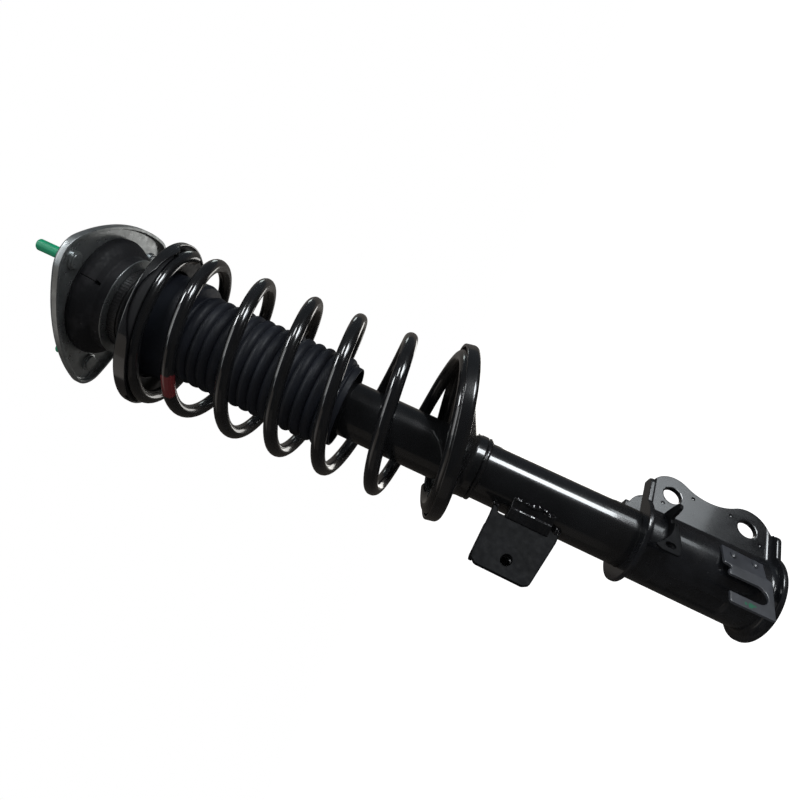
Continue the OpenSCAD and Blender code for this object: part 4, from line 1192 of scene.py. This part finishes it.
def hose_holder(size):
    """One strip with a foot on the wrap and a bend to the slotted plate."""
    low, high = Z_BOT + 11, Z_BOT + 44.5
    clock, r, rad = -72.0, size.tube_r + WRAP, 6.0
    out, across = Vector((cos(clock), sin(clock))), Vector((-sin(clock), cos(clock)))
    bend = out * (r + SHEET / 2) + across * -15
    far = Vector((-39.0, -41.0 + SHEET / 2)) - bend
    length = far.length
    far.normalize()
    half = abs(math.atan2(across.cross(-far), across.dot(-far))) * rad / 2

    def outwards(way):
        side = Vector((-way.y, way.x))
        return -side if side.dot(out) < 0 else side

    foot_way, foot_side, far_side = -across, outwards(-across), outwards(far)

    def strip(u, v, w):
        """u runs from the foot, which is negative, over the bend at 0 to the tip."""
        if u <= -half:
            p, n = bend + foot_way * u, foot_side
        elif u >= half:
            p, n = bend + far * u, far_side
        else:
            f = (u + half) / (2 * half)
            p = (bend - foot_way * half) * (1 - f) ** 2 + bend * 2 * f * (1 - f) + (bend + far * half) * f * f
            n = (foot_side * (1 - f) + far_side * f).normalized()
        p = p + n * w
        return (p.x, p.y, v)

    slot_u = (bend.x + 22) / abs(far.x)
    slot_z = low + 12.5
    outline = eased([(-18.5, low + 4.5), (-1.5, low + 4.5), (0.6, low), (length, low), (length, high),
                     (slot_u + 8, high)],
                    [0.8, 1.2, 1.5, 1.2, 2.5, 0.8], 4)
    outline += arc(slot_u, slot_z, 8, 0, -180, 24)
    outline += eased([(slot_u - 8, slot_z), (slot_u - 8, high - 0.4), (5.5, high), (4.4, high - 1.7),
                      (1.6, high - 1.7), (0.6, high + 3.5), (-18.5, high + 3.5), (-18.5, low + 4.5)],
                      [0, 2, 1, 0.8, 0.8, 1.2, 0.8, 0], 4)[5:-5]
    cuts = [half * (i / 3 - 1) for i in range(7)]
    parts = [sheet_piece("hose", [outline], SHEET, SHEET_EDGE, strip, cuts)]
    at = bend + across * 11.5 + out * 1.15
    turn = (Matrix.Rotation(math.radians(clock), 4, "Z") @ Matrix.Rotation(PI / 2, 4, "Y")
            @ Matrix.Diagonal((1.3, 2.2, 1, 1)))
    for z in (Z_BOT + 23, Z_BOT + 40):
        lug = turned("lug", [(0, 0), (1.9, 0), (1.7, 1.3), (1.0, 2.0), (0, 2.1)], [0, 0.1, 0.4, 0.3, 0],
                     sides=24)
        parts.append(placed(lug, (*at, z), turn))
    return joined("Hose_holder", parts)


def link_plate():
    """The link plate with its turned sides."""
    top, foot, end = LINK_TOP, LINK_FOOT, LINK_END
    outline = eased([(-24.5, -424.6), (-29, -420.6), (-33, -419.6), (-33, -412.6), (-24, -412),
                     (-24, top - 4), (-37, top - 3.5), (-74, top), (-80, top - 0.6), (end, top - 5),
                     (end, foot + 17.5), (end + 3, foot + 12.5), (-36, foot + 1.5), (-24, foot + 0.3)],
                    [0.3, 1, 2.4, 2.4, 1, 1, 2, 2, 3, 4, 4, 4, 2, 1], 5)
    tilt = Matrix.Rotation(math.radians(65), 2)
    hole = [Vector(LINK_HOLE) + tilt @ Vector((4.3 * cos(a), 5.6 * sin(a))) for a in range(0, 360, 8)]
    parts = [sheet_piece("plate", [outline, [tuple(p) for p in hole]], 4, 0.8,
                         lambda u, v, w: (u, LINK_Y + 2 + w, v))]
    upper = [(-42, top - 3.6), (-74, top - 0.6), (-78, top - 1), (-78, top - 4), (-74, top - 3.6),
             (-42, top - 6.6)]
    under = [(-42, foot + 3.6), (-76, foot + 11.8), (-76, foot + 14.8), (-42, foot + 6.6)]
    parts += [sheet_piece("side", [eased(side, 0.8, 3)], 11.5, 0.6, lambda u, v, w: (u, LINK_Y + 7.2 + w, v))
              for side in (upper, under)]
    return joined("Link_plate", parts)


def link_lip(rt):
    """The link plate's lip, bent onto the tube."""
    def section(z, f):
        """Section at a height; its outer corner wanders a little, as a bend under paint does."""
        wave = 1.5 * noise.noise(Vector((z * 0.13, 3.7, 0))) + 0.5 * noise.noise(Vector((z * 0.4, 9.1, 0)))
        ro = rt + 2.4 * f + 0.2 + 0.4 * wave * f
        points = [polar(rt - 0.1, a, z) for a in (215, 208, 200, 192, 184)] + [(-30, -0.6, z),
                                                                               (-34.8, -0.8, z)]
        points += [(-34.8, -4.9 * f, z), (-28.9 - wave, -10.7 * f - 0.6 * wave, z),
                   (-26.9 - wave, -11.0 * f - 0.9 * wave, z), polar(ro, 208, z), polar(ro - 0.8, 212, z),
                   polar(ro - 2.2, 217, z)]
        return eased(points, [0.3, 9, 9, 9, 3, 1, 0.5, 1.5, 1.2, 1.2, 2, 2, 0.8], 3)

    ends = ((0, 0.6), (0.2, 0.85), (0.6, 0.95), (1.2, 1))
    rows = [(-456.6 + d, f) for d, f in ends] + [(-454.5 + i, 1) for i in range(34)]
    rows += [(-419.6 - d, f) for d, f in reversed(ends)]
    return lofted("Link_lip", [section(z, f) for z, f in rows], 40, caps=True)


def link_welds(rt):
    """Beads along the lip and at the link plate's two ends."""
    path = [polar(rt + 1.2, 215.8 - 1.2 * math.sin(i * 0.21), -455 + 34 * i / 60) for i in range(61)]
    runs = [bead(path, 2.9, 1.3, 3, 3.6)]
    for z, n, radius, seed in ((-413.6, 13, 3.0, 7.0), (-466.2, 15, 3.7, 11.0)):
        path = [(-rt - 0.8, LINK_Y + 0.2, z + 0.62 * i) for i in range(n)]
        runs.append(bead(path, radius, 0.7, seed, 2.8))
    return joined("Link_welds", runs)


class STRUT_OT_small_brackets(bpy.types.Operator):
    """Holders for the sensor wire and the brake hose, and the link plate with its nut and welds"""
    bl_idname = "strut.small_brackets"
    bl_label = "Small brackets"

    def execute(self, context):
        size, mats = settings(context)
        rt = size.tube_r
        x, z = LINK_HOLE
        body, black = "strut_body", "black_paint"
        # the wire holder takes the darker dull paint in place of its bracket paint, which is painted shade
        place_on(wire_holder(), body, "bracket_paint", mats, node="wire_bracket", paint="plate_paint")
        # the hose holder takes the lighter copy of the bracket paint, which is painted light
        place_on(hose_holder(size), body, "bracket_paint", mats, node="hose_bracket", paint="hose_paint")
        place_on(link_plate(), body, black, mats, node="link_bracket", paint="plate_paint")
        place_on(link_lip(rt), body, black, mats, node="link_bracket")
        nut = hex_nut("Link_nut", 17, 4.4, 0, 9, lambda u, v, w: (x + u, w, z - v), blind=True)
        place_on(nut, body, black, mats)
        place_on(link_welds(rt), body, black, mats, node="bracket_welds")
        return {"FINISHED"}


class STRUT_OT_inner_parts(bpy.types.Operator):
    """Finishes of the pieces inside the tube and the bearing, which keep their own shape"""
    bl_idname = "strut.inner_parts"
    bl_label = "Inner parts"

    def execute(self, context):
        _, mats = settings(context)
        kept = {"rebound_stop": "steel", "piston": "cast", "piston_band": "band", "piston_valve": "steel",
                "piston_nut": "zinc", "bearing_cage": "cage_plastic", "rod_guide": "cast",
                "guide_bush": "bronze", "inner_tube": "steel", "base_valve": "cast"}
        for node, slot in kept.items():
            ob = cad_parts[node]
            if not ob.material_slots:
                ob.data.materials.append(mats[slot])
            for s in ob.material_slots:
                s.material = mats[slot]
        return {"FINISHED"}


# ---------- studio
CAMERA_AT = (-310.4, -455.6, -332.2)
CAMERA_AXES = ((0.42504, -0.12768, -0.89611), (0.71112, -0.56543, 0.41785), (-0.56004, -0.81487, -0.14954))
FLOOR_Z, FLOOR_HALF = -1050.0, 60000
CARD_RING, CARD_LOW, CARD_HIGH, PALE_RING = 1900, FLOOR_Z + 5, 2100, 1750
COOL, WARM, AMBER = (0.9, 0.95, 1, 1), (1, 0.93, 0.86, 1), (1, 0.9, 0.8, 1)
# pale cards: name, first and last angle, heights, colour and strength; low on the far side for the mount
# plate's far part, and high in front for its near rim
PALE_CARDS = (("Card_far", 28, 54, -1010, -600, (1, 0.98, 0.94, 1), 2.0),
              ("Card_left", 140, 202, 250, 1600, AMBER, 0.2),
              ("Card_high", 202, 264, 1060, 1700, (0.92, 0.97, 1, 1), 1.3))
# dim cards round the strut: name, first and last angle, colour and strength
WALLS = (("front", -180, -82, COOL, 0.02), ("key", -82, -42, COOL, 0.05),
         ("side", -42, 8, (0.8, 0.9, 1, 1), 0.06), ("back", 8, 60, WARM, 0.1),
         ("left", 60, 180, AMBER, 0.035))
# soft boxes: name, angle, distance, height, width, depth, power, colour, and the point they face
LAMPS = (("Key_box", -62.4, 1.2, -0.66, 0.36, 0.4, 5.8, (0.93, 0.97, 1.0), (0, 0, -0.45)),
         ("Coil_box", -70, 1.2, 0.24, 0.26, 0.22, 2.2, (0.95, 0.98, 1.0), (0, 0, -0.2)),
         ("High_box", -80, 0.75, 0.78, 0.26, 0.26, 2.6, (0.95, 0.98, 1.0), (0, 0, -0.2)),
         ("Far_box", 8, 1.1, 0.32, 0.2, 0.2, 0.22, (0.9, 1.0, 0.98), (0, 0, -0.2)),
         ("Ear_box", -49.7, 0.944, -0.865, 0.24, 0.18, 0.35, (0.9, 0.96, 1.0), (0.04, 0, -0.54)),
         ("Rim_box", 155, 1.2, 0.72, 0.8, 0.5, 0.2, (1.0, 0.98, 0.96), (0, 0, 0)),
         ("Low_box", 165, 1.6, -0.5, 1.0, 1.0, 0.12, (1.0, 0.93, 0.86), (0, 0, -0.33)),
         ("Top_box", -120, 0.9, 1.1, 0.9, 0.9, 3.0, (1, 1, 1), (0, 0, -0.33)))


def flat_piece(name, corners, paint):
    """A flat face of the studio, from its corners in millimetres, and the empty board of its material."""
    mesh = bpy.data.meshes.new(name)
    mesh.from_pydata([[v * MM for v in p] for p in corners], [], [range(len(corners))])
    ob = linked(name, mesh)
    mesh.materials.append(bpy.data.materials.new(paint))
    return ob, cleared(mesh.materials[0])


def card(name, corners, colour, strength):
    """A studio card that shows only in reflections."""
    ob, b = flat_piece(name, corners, name)
    glow = b.add("ShaderNodeEmission", {"Color": colour, "Strength": strength}).outputs[0]
    b.add("ShaderNodeOutputMaterial", {"Surface": glow})
    ob.visible_camera = ob.visible_diffuse = ob.visible_shadow = ob.visible_transmission = False


def upright(p, q, low, high):
    """Corners of an upright card between two flat points."""
    return [(*p, low), (*q, low), (*q, high), (*p, high)]


def lamp(name, angle, distance, z, width, height, power, colour, aim):
    """A soft box that faces a point of the strut, in metres."""
    data = bpy.data.lights.new(name, "AREA")
    data.shape = "RECTANGLE"
    data.size, data.size_y = width, height
    data.energy = power
    data.color = colour
    ob = linked(name, data)
    ob.location = polar(distance, angle, z)
    ob.rotation_euler = (ob.location - Vector(aim)).to_track_quat("Z", "Y").to_euler()
    ob.visible_camera = False


def seen(b):
    """1 on rays that look at a surface straight, in a reflection or through glass."""
    path = b.add("ShaderNodeLightPath").outputs
    straight = b.math("MAXIMUM", path["Is Camera Ray"], path["Is Glossy Ray"])
    return b.math("MAXIMUM", straight, path["Is Transmission Ray"])


class STRUT_OT_studio(bpy.types.Operator):
    """Pale floor, white background, soft boxes, dark cards and the camera"""
    bl_idname = "strut.studio"
    bl_label = "Studio"

    def execute(self, context):
        scene = context.scene
        scene.view_settings.view_transform = "Standard"
        # floor: keeps its shadow, and reads white to the camera
        s = FLOOR_HALF
        corners = [(x, y, FLOOR_Z) for x, y in ((-s, -s), (s, -s), (s, s), (-s, s))]
        _, b = flat_piece("Floor", corners, "Pale floor")
        glow = b.add("ShaderNodeEmission", {"Color": (1, 1, 1, 1), "Strength": b.math("MULTIPLY", seen(b),
                                                                                      0.8)})
        pale = b.add("ShaderNodeBsdfDiffuse", {"Color": (0.8, 0.8, 0.8, 1)})
        both = b.add("ShaderNodeAddShader", {0: glow.outputs[0], 1: pale.outputs[0]}).outputs[0]
        b.add("ShaderNodeOutputMaterial", {"Surface": both})

        scene.world = bpy.data.worlds.new("Studio")
        b = cleared(scene.world)
        level = b.spread(seen(b), 0.0, 1.0, (0.4, 1.0))
        back = b.add("ShaderNodeBackground", {"Color": (1, 1, 1, 1), "Strength": level}).outputs[0]
        b.add("ShaderNodeOutputWorld", {"Surface": back})

        # dim cards stand round, over and under the strut, so that black paint reflects a dark room
        for name, a0, a1, colour, strength in WALLS:
            edge = arc(0, 0, CARD_RING, a0, a1, 8)
            for i, (p, q) in enumerate(zip(edge, edge[1:])):
                card(f"Wall_{name}_{i}", upright(p, q, CARD_LOW, CARD_HIGH), colour, strength)
        card("Card_over", circle(CARD_RING * 1.02, CARD_HIGH, 30), COOL, 0.04)
        card("Card_under", circle(CARD_RING * 1.02, CARD_LOW, 30), WARM, 0.03)
        for name, a0, a1, low, high, colour, strength in PALE_CARDS:
            card(name, upright(*arc(0, 0, PALE_RING, a0, a1, 1), low, high), colour, strength)
        for row in LAMPS:
            lamp(*row)

        data = bpy.data.cameras.new("Camera")
        data.lens, data.sensor_width = 27.9, 36.0
        data.shift_x, data.shift_y = 0.0788, 0.0005
        data.clip_start = 0.01
        cam = linked("Camera", data)
        turn = Matrix(CAMERA_AXES).transposed().to_4x4()
        cam.matrix_world = Matrix.Translation([v * MM for v in CAMERA_AT]) @ turn
        scene.camera = cam
        return {"FINISHED"}


STEPS = (STRUT_OT_mount_plate, STRUT_OT_studs, STRUT_OT_mount_rubber, STRUT_OT_rod, STRUT_OT_bearing,
         STRUT_OT_upper_seat, STRUT_OT_boot, STRUT_OT_spring, STRUT_OT_tube, STRUT_OT_knuckle_bracket,
         STRUT_OT_small_brackets, STRUT_OT_inner_parts, STRUT_OT_studio)


class STRUT_PT_panel(bpy.types.Panel):
    """Sizes, colours and steps of the strut"""
    bl_idname = "STRUT_PT_panel"
    bl_label = "Suspension strut"
    bl_space_type = "VIEW_3D"
    bl_region_type = "UI"
    bl_category = "Strut"

    def draw(self, context):
        layout = self.layout
        for group in (context.scene.strut_sizes, context.scene.strut_colours):
            for key in group.__annotations__:
                layout.prop(group, key)
        for step in STEPS:
            layout.operator(step.bl_idname)


CLASSES = (StrutSizes, StrutColours) + STEPS + (STRUT_PT_panel,)


def register():
    for cls in CLASSES:
        bpy.utils.register_class(cls)
    bpy.types.Scene.strut_sizes = PointerProperty(type=StrutSizes)
    bpy.types.Scene.strut_colours = PointerProperty(type=StrutColours)


def unregister():
    del bpy.types.Scene.strut_colours
    del bpy.types.Scene.strut_sizes
    for cls in reversed(CLASSES):
        bpy.utils.unregister_class(cls)


def main():
    register()
    for step in STEPS:
        group, name = step.bl_idname.split(".")
        getattr(getattr(bpy.ops, group), name)()


if __name__ == "__main__":
    main()
